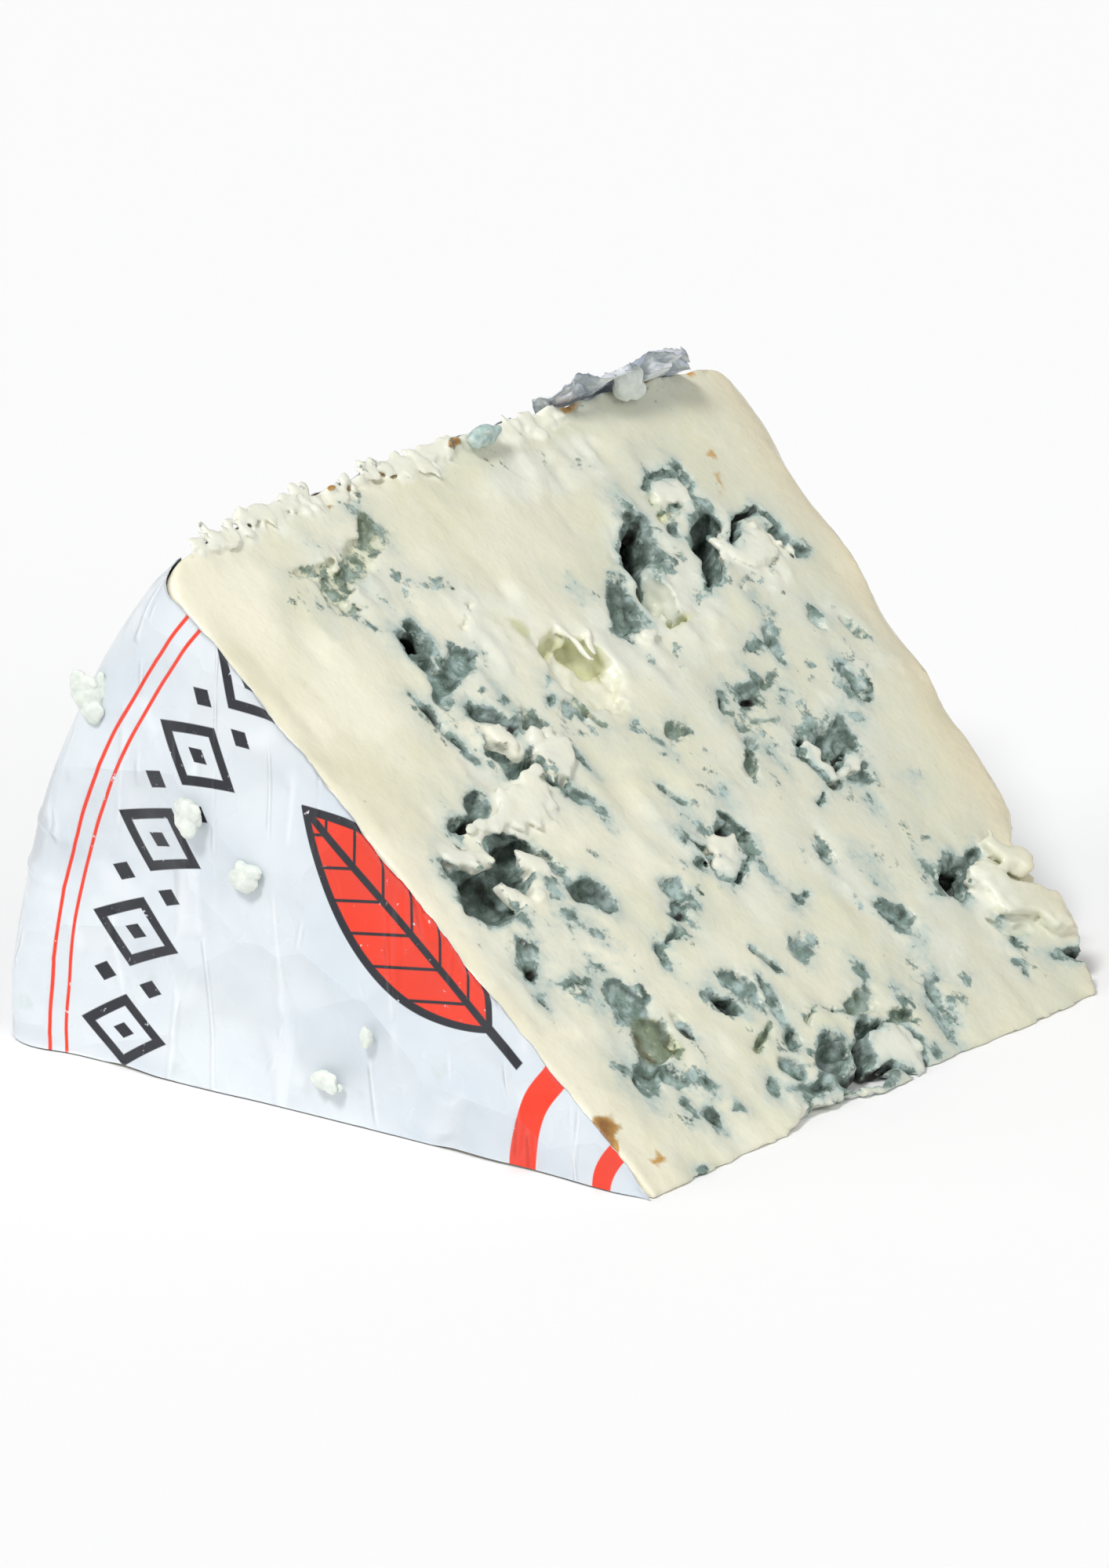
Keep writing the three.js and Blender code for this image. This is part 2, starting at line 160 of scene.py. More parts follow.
# Hollows: across, up, half length, half width, turn in degrees from across towards up, depth, tone.
HOLLOWS = [
    # the shallow green recess near the rim
    (30.0, 87.2, 5.2, 1.9, 12, 1.1, "moss"),
    (23.2, 84.0, 3.6, 2.0, 55, 0.9, "moss"),
    (22.3, 87.7, 3.6, 0.8, 2, 0.7, "moss"),
    (34.4, 90.0, 2.0, 1.0, 60, 1.3, "olive"),
    (22.6, 80.9, 2.4, 0.7, -5, 0.7, "moss"),
    # the dark hole and its blue-green lobe
    (29.9, 74.9, 2.6, 1.5, 80, 8.5, "black"),
    (27.2, 74.2, 2.4, 1.5, 95, 3.4, "dark"),
    (27.3, 71.2, 1.7, 1.1, 85, 2.8, "dark"),
    (33.0, 69.9, 3.0, 1.6, 8, 1.4, "blue"),
    (28.3, 67.9, 2.9, 1.7, 18, 2.0, "blue"),
    # the slit beside it
    (23.2, 65.4, 0.9, 0.5, -60, 1.6, "black"),
    # the broken cluster in the middle of the near half
    (31.7, 62.0, 2.6, 1.0, -48, 1.8, "dark"),
    (33.3, 59.7, 1.7, 0.6, 18, 1.4, "black"),
    (36.9, 59.3, 1.9, 1.2, 72, 1.6, "green"),
    (28.7, 57.0, 2.6, 1.4, -80, 2.4, "grey"),
    (31.0, 55.2, 3.4, 1.4, 6, 2.6, "grey"),
    (28.7, 54.0, 1.6, 0.6, -12, 3.0, "black"),
    (33.4, 53.2, 2.2, 1.0, -62, 1.8, "dark"),
    (38.2, 54.4, 2.2, 0.6, -62, 1.2, "grey"),
    (34.9, 48.9, 2.0, 0.9, -48, 1.2, "grey"),
    (43.9, 58.8, 1.9, 1.1, -20, 0.7, "soft"),
    (46.6, 58.0, 1.6, 0.4, -62, 0.9, "olive"),
    # the pale hollow with torn edges
    (50.6, 62.6, 4.9, 4.2, -25, 2.3, "cream"),
    (52.8, 65.2, 3.2, 2.5, -20, 4.2, "ochre"),
    (49.0, 67.6, 2.8, 1.0, 18, 2.4, "ochre"),
    (51.5, 57.6, 1.5, 0.7, 0, 1.4, "cream"),
    # the grey hole and the black rift above it
    (63.3, 68.6, 3.5, 1.9, 70, 2.6, "grey"),
    (62.0, 66.4, 1.9, 1.4, 10, 2.2, "blue"),
    (65.8, 69.2, 3.0, 0.9, 78, 1.9, "dark"),
    (73.8, 75.8, 5.4, 2.5, 38, 10.5, "black"),
    (71.0, 73.4, 3.0, 2.1, 50, 9.0, "black"),
    (77.6, 79.0, 1.2, 0.9, -10, 5.0, "black"),
    (71.0, 69.4, 3.3, 2.0, 80, 4.0, "cream"),
    (69.0, 69.0, 1.8, 0.7, 85, 3.6, "ochre"),
    (71.1, 64.9, 2.3, 0.5, -10, 2.2, "ochre"),
    (85.0, 72.6, 5.8, 2.1, 47, 8.0, "dark"),
    (87.4, 75.0, 2.2, 1.5, -20, 4.5, "dark"),
    (82.5, 69.2, 3.0, 0.6, 28, 5.0, "black"),
    # the crumbly ring near the far edge
    (89.3, 82.6, 1.9, 0.8, 78, 1.6, "grey"),
    (82.8, 81.2, 1.4, 0.5, 48, 1.1, "olive"),
    (81.3, 78.0, 0.9, 0.7, 0, 0.9, "ochre"),
    (81.4, 75.9, 0.9, 0.5, 60, 1.0, "dark"),
    (83.7, 78.4, 2.2, 0.6, 35, 1.0, "green"),
    (97.0, 70.2, 1.9, 0.8, -62, 1.6, "dark"),
    (97.8, 67.8, 1.6, 0.7, 0, 1.2, "grey"),
    # the veins in the middle of the far half
    (82.3, 57.3, 2.2, 1.0, 58, 1.2, "grey"),
    (73.2, 53.6, 1.7, 0.7, -10, 1.4, "dark"),
    (72.1, 52.2, 0.9, 0.4, 20, 1.6, "black"),
    (68.1, 53.5, 1.0, 0.35, 38, 1.8, "black"),
    (76.6, 53.0, 1.8, 0.45, 22, 1.0, "green"),
    (90.4, 49.8, 1.8, 0.6, 96, 1.3, "dark"),
    (90.5, 47.4, 1.4, 0.7, 10, 0.9, "soft"),
    (92.9, 58.6, 1.9, 0.9, 50, 0.9, "soft"),
    (97.6, 56.0, 2.1, 0.7, 102, 0.9, "soft"),
    (57.6, 52.5, 1.7, 1.3, 20, 1.1, "green"),
    # the big cavern near the printed face
    (11.2, 42.4, 5.0, 4.2, 15, 7.0, "dark"),
    (11.2, 41.0, 2.4, 1.6, 62, 9.0, "black"),
    (7.6, 46.2, 1.9, 0.9, 84, 6.0, "black"),
    (19.4, 46.4, 4.0, 2.9, 18, 5.2, "dark"),
    (16.0, 43.4, 3.2, 2.3, 10, 5.0, "grey"),
    (18.6, 53.0, 2.0, 1.7, 20, 2.4, "grey"),
    (16.2, 51.0, 2.8, 0.6, 14, 3.4, "black"),
    (13.9, 51.6, 1.2, 0.5, 10, 1.2, "grey"),
    (22.8, 43.2, 2.5, 0.9, -72, 1.9, "blue"),
    (25.1, 37.9, 2.6, 1.7, -50, 1.9, "dark"),
    (9.3, 32.9, 1.9, 1.1, 60, 1.5, "grey"),
    (9.1, 31.6, 0.9, 0.45, 10, 2.2, "black"),
    # the mould patch with its slit
    (18.2, 22.7, 2.6, 2.2, 60, 1.5, "grey"),
    (18.5, 18.2, 3.0, 2.8, 90, 2.0, "olive"),
    (14.7, 14.8, 3.4, 1.4, 35, 1.8, "grey"),
    (17.2, 13.0, 1.7, 1.0, -50, 1.7, "grey"),
    (11.3, 13.6, 1.5, 0.45, 62, 2.8, "black"),
    (23.9, 17.0, 1.8, 0.8, 78, 1.2, "soft"),
    (17.7, 5.9, 1.2, 1.1, 0, 1.0, "dark"),
    (30.0, 6.4, 1.5, 0.7, 60, 1.1, "grey"),
    (34.8, 7.5, 1.6, 1.4, 60, 1.5, "blue"),
    # holes and slits between
    (32.5, 18.4, 1.9, 1.0, -65, 4.0, "black"),
    (35.8, 19.4, 2.6, 1.2, 98, 1.6, "blue"),
    (38.7, 15.6, 2.6, 0.7, 82, 1.3, "grey"),
    (37.9, 12.0, 1.7, 0.8, 45, 1.4, "blue"),
    (50.3, 20.6, 1.5, 1.3, 20, 1.2, "blue"),
    (51.4, 38.3, 1.2, 0.9, -10, 2.6, "black"),
    (53.4, 37.0, 3.4, 1.0, 98, 1.4, "grey"),
    (46.4, 36.8, 2.0, 0.4, -72, 1.6, "dark"),
    (47.4, 35.7, 1.1, 0.35, 20, 1.8, "black"),
    (44.2, 35.4, 0.8, 0.7, 0, 1.1, "dark"),
    (38.5, 33.7, 1.8, 1.2, 20, 1.6, "blue"),
    (36.0, 31.3, 1.4, 0.8, 20, 1.5, "grey"),
    (28.8, 26.7, 1.7, 0.7, 78, 1.2, "blue"),
    (63.8, 30.1, 0.9, 0.4, 70, 3.0, "black"),
    (65.8, 31.4, 2.0, 0.9, 62, 1.0, "soft"),
    (64.3, 44.2, 2.2, 0.9, 60, 1.3, "green"),
    (66.8, 46.8, 1.2, 0.6, 20, 1.0, "grey"),
    (67.8, 19.6, 3.0, 2.2, 105, 1.5, "blue"),
    (67.1, 19.3, 2.1, 1.1, -66, 4.5, "black"),
    (65.2, 9.4, 1.9, 0.7, 76, 1.4, "grey"),
    (63.1, 6.5, 1.6, 0.35, 84, 1.5, "dark"),
    # the grey cavity with white crumbs
    (78.9, 43.4, 3.6, 2.0, 4, 3.2, "grey"),
    (81.6, 42.0, 2.9, 1.1, 72, 2.6, "grey"),
    (79.5, 38.1, 1.7, 0.9, 10, 1.8, "grey"),
    (75.4, 44.8, 1.1, 0.6, 40, 2.2, "black"),
    (74.9, 38.1, 1.0, 0.45, 0, 2.6, "black"),
    (82.7, 44.9, 1.7, 0.5, 24, 1.3, "dark"),
    # the black hole by the broken corner
    (81.7, 20.9, 3.3, 2.0, 55, 8.0, "black"),
    (83.7, 22.6, 1.3, 0.9, 0, 6.0, "black"),
    (86.9, 22.9, 1.5, 0.8, 10, 1.4, "dark"),
    (84.8, 12.8, 3.4, 0.7, -42, 1.3, "cream"),
    (90.8, 6.6, 3.0, 0.7, -14, 3.0, "black"),
    (83.6, 11.2, 0.9, 0.6, 0, 1.1, "dark"),
    # the crumbled place at the sharp edge
    (42.4, 7.4, 2.9, 1.9, 22, 2.8, "dark"),
    (46.6, 5.8, 2.2, 1.3, 35, 6.0, "black"),
    (48.6, 8.2, 2.2, 0.5, 42, 4.0, "black"),
    (38.0, 4.8, 3.0, 0.6, 4, 2.2, "dark"),
    (44.0, 3.2, 4.5, 1.0, -8, 3.2, "grey"),
    (52.4, 11.8, 2.8, 1.5, 14, 1.8, "green"),
    (56.9, 8.4, 2.0, 1.2, -20, 1.5, "green"),
]


def scattered_specks():
    """Small mould specks beside the hollows, seeded, most of them stretched up the face."""
    random = np.random.default_rng(23)
    specks = []
    for across, up, long, _, _, _, tone in HOLLOWS:
        if tone in ("cream", "ochre", "amber") or up > 93:
            continue
        for _ in range(random.integers(1, 4)):
            angle, away_by = random.uniform(0, 2 * math.pi), long + random.uniform(0.3, 3.2)
            place = (across + away_by * math.cos(angle), up + 1.2 * away_by * math.sin(angle))
            size = random.uniform(0.35, 1.2)
            shape = (size, size * random.uniform(0.3, 0.6), random.uniform(45, 115))
            specks.append((*place, *shape, random.choice(["soft", "grey", "faint", "soft"])))
    return specks


# Cracks and thin veins: points (across, up), half width, depth, tone.
CRACKS = [
    ([(21.8, 68.2), (23.1, 66.0), (23.5, 63.0), (24.6, 60.6), (24.3, 58.3)], 0.32, 1.4, "dark"),
    ([(82.3, 82.2), (84.6, 83.8), (87.0, 84.2), (89.0, 84.5)], 0.3, 0.9, "dark"),
    ([(88.8, 71.6), (91.0, 73.3), (93.2, 74.5), (96.6, 74.7)], 0.42, 2.0, "black"),
    ([(96.6, 74.0), (97.9, 71.6), (97.2, 69.0)], 0.35, 1.2, "dark"),
    ([(84.8, 65.6), (88.0, 65.9), (91.0, 66.5), (94.5, 67.4)], 0.25, 0.3, "soft"),
    ([(47.7, 46.8), (48.3, 45.4), (48.7, 44.0)], 0.4, 1.2, "dark"),
    ([(42.4, 22.8), (43.0, 21.2), (43.7, 19.4)], 0.38, 1.2, "dark"),
    ([(29.3, 27.6), (31.6, 28.2), (34.0, 28.9)], 0.3, 1.3, "dark"),
    ([(32.0, 11.9), (34.4, 12.8), (36.6, 14.0)], 0.3, 1.0, "olive"),
    ([(53.9, 39.6), (54.6, 37.2), (53.4, 34.0), (50.8, 32.9), (48.4, 32.2), (46.3, 33.4)], 0.32, 1.7, "dark"),
    ([(35.2, 30.6), (36.6, 30.6)], 0.3, 1.4, "black"),
    ([(54.4, 25.8), (55.6, 26.6), (57.6, 26.9)], 0.28, 0.8, "dark"),
    ([(73.5, 43.6), (73.3, 41.0), (73.8, 38.6)], 0.32, 2.2, "dark"),
    ([(77.4, 40.4), (79.4, 41.4), (81.2, 40.8)], 0.34, 2.0, "black"),
    ([(70.0, 36.0), (71.4, 37.1)], 0.34, 1.0, "dark"),
    ([(17.6, 19.6), (17.3, 18.0), (17.4, 16.4)], 0.28, 1.0, "brown"),
    ([(24.2, 17.0), (24.0, 15.9)], 0.3, 1.6, "black"),
    ([(66.6, 49.4), (69.0, 48.9), (72.0, 49.0), (74.6, 48.4)], 0.34, 0.6, "green"),
    ([(37.6, 74.2), (39.4, 75.2), (41.4, 76.4)], 0.3, 0.7, "cream"),
    ([(47.0, 5.0), (49.4, 8.4), (53.2, 8.6), (56.6, 7.3), (57.4, 5.0), (55.7, 2.2)], 0.3, 2.2, "dark"),
    ([(55.7, 2.2), (54.9, 0.4)], 0.4, 2.4, "black"),
    ([(40.2, 3.9), (43.4, 4.4), (46.0, 3.4), (49.6, 3.6), (51.6, 1.6)], 0.4, 2.4, "black"),
    ([(31.8, 5.3), (34.6, 5.2), (37.4, 4.6)], 0.3, 1.4, "dark"),
    ([(42.8, 12.2), (45.2, 13.6), (48.4, 12.2), (50.2, 10.4)], 0.28, 1.0, "green"),
    ([(80.4, 9.6), (81.4, 8.8), (80.9, 7.6)], 0.25, 0.7, "grey"),
    ([(43.0, 63.2), (44.0, 63.4), (44.6, 64.0)], 0.2, 0.6, "grey"),
    ([(41.6, 61.0), (42.2, 61.8)], 0.3, 0.8, "dark"),
    ([(51.0, 54.8), (52.4, 55.0)], 0.3, 0.8, "grey"),
]

# Lumps and torn flakes: across, up, half length, half width, turn, half thickness, height of its middle.
LUMPS = [
    (26.4, 51.2, 5.2, 2.1, 12, 0.75, 0.35),
    (20.4, 50.4, 5.0, 1.0, 12, 0.55, 0.35),
    (29.0, 50.2, 3.2, 1.7, 30, 0.6, 0.2),
    (35.6, 54.8, 2.7, 1.9, 68, 1.6, -0.6),
    (30.6, 58.9, 2.0, 1.1, -60, 1.2, -0.6),
    (10.4, 47.4, 2.4, 1.4, -42, 1.2, -0.9),
    (12.9, 46.9, 1.9, 1.0, -30, 1.2, -0.9),
    (15.2, 41.2, 1.9, 0.9, -66, 1.0, -1.4),
    (20.3, 43.6, 2.3, 1.1, -62, 1.3, -1.1),
    (17.8, 40.7, 0.9, 0.6, 10, 0.8, -0.9),
    (51.7, 67.2, 2.3, 0.35, -80, 0.45, -0.3),
    (54.9, 66.2, 2.1, 0.4, 55, 0.5, -0.3),
    (90.8, 70.0, 4.6, 2.7, -20, 0.8, 0.0),
    (49.6, 35.8, 2.3, 1.5, 20, 1.0, -1.1),
    (48.6, 33.2, 2.6, 0.8, -6, 0.7, -0.5),
    (75.0, 43.0, 1.5, 1.1, 30, 1.2, -0.8),
    (75.4, 41.0, 1.6, 1.2, 20, 1.2, -0.7),
    (75.0, 39.5, 1.4, 0.9, 0, 1.0, -0.6),
    (79.9, 39.9, 1.9, 0.9, 12, 1.0, -0.7),
    (85.6, 81.6, 2.5, 1.5, 20, 0.9, -0.8),
    (63.7, 64.2, 1.0, 0.8, 20, 0.9, -0.5),
    (52.6, 4.9, 3.5, 2.6, 10, 2.0, -2.0),
]

# Smooth tongues of cream paste, listed in the same way.
TONGUES = [
    (88.2, 15.6, 5.8, 2.1, -45, 1.1, 0.9),
    (86.0, 18.6, 3.2, 2.0, -50, 0.8, 0.2),
    (91.2, 12.2, 2.9, 2.0, -30, 1.0, -0.1),
    (91.3, 20.4, 3.4, 1.5, -64, 1.3, 1.1),
]

# Where the paste is torn away from the holes: across, up, half across, half up.
TORN_PLACES = [
    (33, 80, 15, 8),
    (42, 72, 12, 10),
    (70, 89, 20, 5),
    (56, 66, 12, 8),
    (28, 50, 16, 10),
    (76, 68, 12, 8),
    (30, 62, 12, 8),
    (92, 68, 8, 6),
    (48, 8, 14, 7),
    (50, 36, 8, 6),
    (78, 42, 8, 7),
]


RIM_LUMPS = 420
RIM_SPECKS = 60


def rim_lumps():
    """Loose crumbs of paste along the rim, seeded."""
    random = np.random.default_rng(5)
    lumps = []
    for _ in range(RIM_LUMPS):
        across = random.choice([random.uniform(8, 78), random.uniform(10, 30), random.uniform(40, 76)])
        size = random.choice([random.uniform(0.2, 0.4), random.uniform(0.2, 0.4), random.uniform(0.3, 0.65)])
        up = 96.2 + random.triangular(-2.0, 0.6, 0.9)
        shape = (size * random.uniform(1.0, 1.7), size * random.uniform(0.7, 1.1), random.uniform(0, 180))
        lumps.append((across, up, *shape, size * 0.7, random.uniform(-0.3, 0.6) * size))
    return lumps


LUMPS += rim_lumps()

# Flat stains in the paste: across, up, half length, half width, turn, tone.
STAINS = [
    (17.0, 84.8, 2.4, 1.6, 30, "faint"),
    (33.6, 81.5, 2.2, 0.6, 32, "soft"),
    (32.0, 83.2, 1.2, 0.5, -60, "soft"),
    (38.0, 79.9, 2.4, 0.8, 4, "soft"),
    (36.0, 88.7, 1.6, 0.9, 80, "green"),
    (44.3, 71.2, 3.4, 1.7, -42, "cream"),
    (45.6, 71.4, 1.4, 0.9, -60, "ochre"),
    (7.5, 85.4, 0.9, 0.8, 20, "amber"),
    (16.8, 65.6, 0.5, 0.4, 0, "amber"),
    (21.6, 66.0, 1.0, 2.0, 20, "faint"),
    (52.0, 84.4, 2.2, 1.2, 60, "cream"),
    (53.4, 92.6, 1.0, 0.5, 60, "faint"),
    (62.2, 92.2, 2.4, 1.2, -20, "faint"),
    (70.2, 91.4, 2.2, 0.7, 84, "faint"),
    (74.0, 88.2, 1.8, 0.5, 6, "soft"),
    (66.9, 77.6, 0.8, 0.5, -30, "faint"),
    (80.5, 87.0, 2.0, 0.35, -64, "cream"),
    (96.1, 83.1, 1.4, 0.6, 64, "amber"),
    (93.8, 79.8, 1.7, 0.4, 54, "amber"),
    (96.2, 92.6, 1.6, 1.0, 40, "faint"),
    (103.6, 94.7, 0.5, 0.3, 0, "amber"),
    (78.4, 72.4, 2.4, 0.9, 34, "faint"),
    (76.4, 72.6, 2.0, 0.6, 60, "soft"),
    (87.4, 78.0, 1.6, 0.8, 60, "faint"),
    (89.6, 77.6, 1.1, 0.9, 60, "soft"),
    (95.8, 68.9, 2.0, 0.9, 60, "soft"),
    (83.4, 68.1, 1.6, 0.8, 8, "soft"),
    (67.3, 61.4, 1.6, 0.5, 62, "soft"),
    (84.9, 60.2, 2.4, 0.8, 62, "soft"),
    (80.1, 58.5, 0.6, 0.5, 0, "grey"),
    (80.6, 53.6, 2.4, 0.4, 8, "faint"),
    (70.4, 51.6, 3.6, 2.4, 10, "faint"),
    (70.8, 47.4, 3.6, 1.0, 10, "faint"),
    (92.4, 49.0, 1.2, 0.9, 20, "soft"),
    (79.8, 49.0, 0.8, 0.4, 30, "soft"),
    (44.6, 58.6, 0.9, 0.7, -20, "grey"),
    (52.2, 51.8, 1.8, 0.6, 62, "soft"),
    (36.9, 58.0, 1.3, 0.8, 70, "grey"),
    (27.6, 47.6, 1.6, 0.5, 6, "soft"),
    (30.4, 41.5, 1.0, 0.6, 20, "soft"),
    (33.4, 41.6, 1.6, 0.3, 22, "faint"),
    (30.6, 38.8, 1.6, 0.4, 42, "faint"),
    (18.9, 34.6, 1.3, 0.5, 70, "soft"),
    (13.2, 28.0, 1.5, 0.3, -20, "grey"),
    (14.3, 26.2, 1.4, 0.4, 80, "grey"),
    (12.4, 26.2, 1.6, 0.9, 70, "soft"),
    (12.0, 9.2, 2.2, 0.9, 60, "faint"),
    (22.8, 6.4, 0.6, 0.5, 0, "grey"),
    (10.0, 1.0, 0.5, 0.5, 0, "grey"),
    (55.0, 26.2, 0.8, 0.5, 30, "dark"),
    (46.2, 24.8, 1.2, 0.5, 60, "faint"),
    (47.2, 19.7, 0.5, 0.3, 0, "faint"),
    (34.0, 28.6, 1.6, 0.9, 80, "faint"),
    (78.2, 46.2, 3.4, 0.8, 4, "soft"),
    (87.0, 34.6, 0.9, 0.7, 80, "grey"),
    (73.6, 24.4, 1.6, 1.2, 60, "faint"),
    (79.2, 28.8, 2.6, 1.0, 60, "faint"),
    (77.4, 23.0, 1.4, 0.6, 30, "soft"),
    (78.6, 19.6, 1.2, 2.2, 20, "faint"),
    (82.4, 8.8, 2.6, 1.2, 30, "faint"),
    (71.0, 9.4, 1.3, 0.7, 40, "soft"),
    (66.4, 7.4, 1.3, 0.7, 20, "soft"),
    (66.3, 10.9, 0.9, 0.4, 30, "dark"),
    (58.5, 2.8, 0.7, 0.6, 0, "dark"),
    (58.0, 7.0, 1.0, 0.8, 0, "soft"),
    (56.0, 46.0, 4.0, 1.0, 30, "faint"),
    (0.8, 9.6, 2.8, 1.2, 30, "brown"),
    (-0.2, 8.6, 1.2, 2.0, 0, "amber"),
    (5.0, 4.4, 1.2, 0.5, 30, "amber"),
    (2.6, 7.0, 1.5, 0.6, 70, "cream"),
    (99.6, 42.0, 1.2, 5.0, 0, "cream"),
    (10.5, 95.9, 1.6, 0.2, 8, "brown"),
    (15.6, 96.4, 0.7, 0.3, 0, "brown"),
    (20.4, 96.9, 1.0, 0.3, 10, "brown"),
    (33.2, 96.6, 1.5, 0.4, 20, "brown"),
    (46.0, 96.2, 0.6, 0.3, 20, "brown"),
    (57.2, 96.0, 1.6, 0.4, 0, "brown"),
    (60.6, 95.9, 0.6, 0.4, 60, "brown"),
    (69.6, 95.2, 1.2, 0.3, 40, "brown"),
    (79.8, 95.9, 1.9, 0.3, 0, "brown"),
]


def rim_specks():
    """Small brown and grey specks among the rim's crumbs, seeded."""
    random = np.random.default_rng(31)
    specks = []
    for _ in range(RIM_SPECKS):
        place = (random.uniform(10, 100), 95.9 + random.triangular(-2.0, 0.3, 0.8))
        size = random.uniform(0.15, 0.5)
        shape = (size, size * random.uniform(0.3, 0.7), random.uniform(-20, 40))
        specks.append((*place, *shape, random.choice(["brown", "soft", "amber", "soft"])))
    return specks


STAINS += scattered_specks() + rim_specks()

# ---- The cheese as a field ----
STEP = 0.36
UP = np.arange(-3.5, 101, STEP, dtype=np.float32)
ACROSS = np.arange(-2.5, 114, STEP, dtype=np.float32)
OUT = np.arange(-66, 4.5, STEP, dtype=np.float32)
SKIN_DEPTH = 15.0  # below this the paste is smooth
SKIN = int(np.searchsorted(OUT, -SKIN_DEPTH))
SKIN_AXES = (UP, ACROSS, OUT[SKIN:])


def round_join(a, b, radius):
    """The overlap of two solids with a rounded edge between them."""
    inner = np.minimum(np.maximum(a, b) + radius, 0)
    return np.hypot(np.maximum(a + radius, 0), np.maximum(b + radius, 0)) + inner - radius


def rim_radius(across):
    """The crowned rim's radius at places across the wheel."""
    share = np.clip((across - CORNER) / (FAR_CENTRE - CORNER), 0, 1)
    return RADIUS + RIM_CROWN * 4 * share * (1 - share)


def wheel_field():
    """Distance to the wheel's own surface: the printed face, the crowned rim and the far face."""
    from_axis = np.hypot(UP[:, None, None], OUT[None, None, :])
    across = ACROSS[None, :, None]
    body = round_join(from_axis - rim_radius(across), -across, CORNER)
    far = (across - HEART_THICKNESS - from_axis * math.tan(FACE_SLOPE)) * math.cos(FACE_SLOPE)
    return round_join(body, far, CORNER)


def turned(feature, across, up):
    """Distances from a feature's middle, along it and aside of it."""
    middle_across, middle_up, _, _, turn = feature[:5]
    cos, sin = math.cos(math.radians(turn)), math.sin(math.radians(turn))
    da = across - middle_across
    du = up - middle_up
    return da * cos + du * sin, du * cos - da * sin


def ellipse_reach(feature, across, up):
    """How far points lie from a feature's middle, as a share of its outline."""
    along, aside = turned(feature, across, up)
    return np.hypot(along / (feature[2] + 0.2), aside / (feature[3] + 0.16))


def lump_field(feature, across, up, out, grain=0.0):
    """Distance to a flat-topped, tilted lump. Grain makes its outline ragged."""
    _, _, _, short, _, thick, height = feature
    reach = ellipse_reach(feature, across, up) * (1 + 0.11 * grain)
    tilt = 0.05 * turned(feature, across, up)[0]
    rise = np.abs(out - 0.7 * height - tilt) / (0.72 * thick)
    return ((reach**6 + rise**4) ** 0.2 - 1) * min(short, thick)


def crack_reach(points, width, across, up):
    """How far points lie from a line of points, as a share of the crack's half width."""
    nearest = np.full(np.broadcast(across, up).shape, 1e3, np.float32)
    for (a0, u0), (a1, u1) in zip(points, points[1:]):
        da, du = a1 - a0, u1 - u0
        share = np.clip(((across - a0) * da + (up - u0) * du) / (da * da + du * du), 0, 1)
        nearest = np.minimum(nearest, np.hypot(across - a0 - share * da, up - u0 - share * du))
    return nearest / width


def bend(short):
    """How strongly noise bends a feature's outline: the narrowest features bend least."""
    return min(1, 0.35 + short / 2.5)


def span(axis, low, high):
    return slice(*np.searchsorted(axis, (low, high)))


class Skin:
    """The part of the field near the cut face, where hollows are dug and lumps laid."""

    def __init__(self, field):
        self.field = field
        self.warp_across = 0.5 * lattice_noise(SKIN_AXES, 2.6, 11) + 0.2 * lattice_noise(SKIN_AXES, 1.1, 12)
        self.warp_up = 0.5 * lattice_noise(SKIN_AXES, 2.6, 13) + 0.2 * lattice_noise(SKIN_AXES, 1.1, 14)
        self.grain = lattice_noise(SKIN_AXES, 0.8, 15)

    def block(self, across, up, reach, low, strength):
        """The lattice around a feature: its slices, and its warped places."""
        where = (
            span(UP, up[0] - reach, up[1] + reach),
            span(ACROSS, across[0] - reach, across[1] + reach),
            span(OUT[SKIN:], low, 5),
        )
        a = ACROSS[where[1]][None, :, None] + strength * self.warp_across[where]
        u = UP[where[0]][:, None, None] + strength * self.warp_up[where]
        return where, a, u, OUT[SKIN:][where[2]][None, None, :]

    def dig(self, where, reach, out, depth, width):
        """Takes away a steep-walled hollow."""
        deep = np.abs(out) / depth
        hollow = ((reach**2.6 + deep**2.6) ** (1 / 2.6) - 1) * min(width, depth)
        hollow = hollow + 0.13 * self.grain[where]
        self.field[where] = np.maximum(self.field[where], -hollow)

    def hollow(self, feature):
        across, up, long, short, _, depth, _ = feature
        where, a, u, out = self.block((across, across), (up, up), long + 2, -depth - 1.5, bend(short))
        self.dig(where, ellipse_reach(feature, a, u), out, depth, short)

    def crack(self, points, width, depth):
        xs, ys = zip(*points)
        where, a, u, out = self.block((min(xs), max(xs)), (min(ys), max(ys)), 1.5, -depth - 1, 0.6)
        self.dig(where, crack_reach(points, width, a, u), out, depth, width)

    def lump(self, feature):
        across, up, long, _, _, thick, height = feature
        where, a, u, out = self.block((across, across), (up, up), long + 2, height - thick - 1.5, 1.0)
        grain = self.grain[where]
        solid = lump_field(feature, a, u, out, grain) + 0.03 * grain
        self.field[where] = np.minimum(self.field[where], solid)


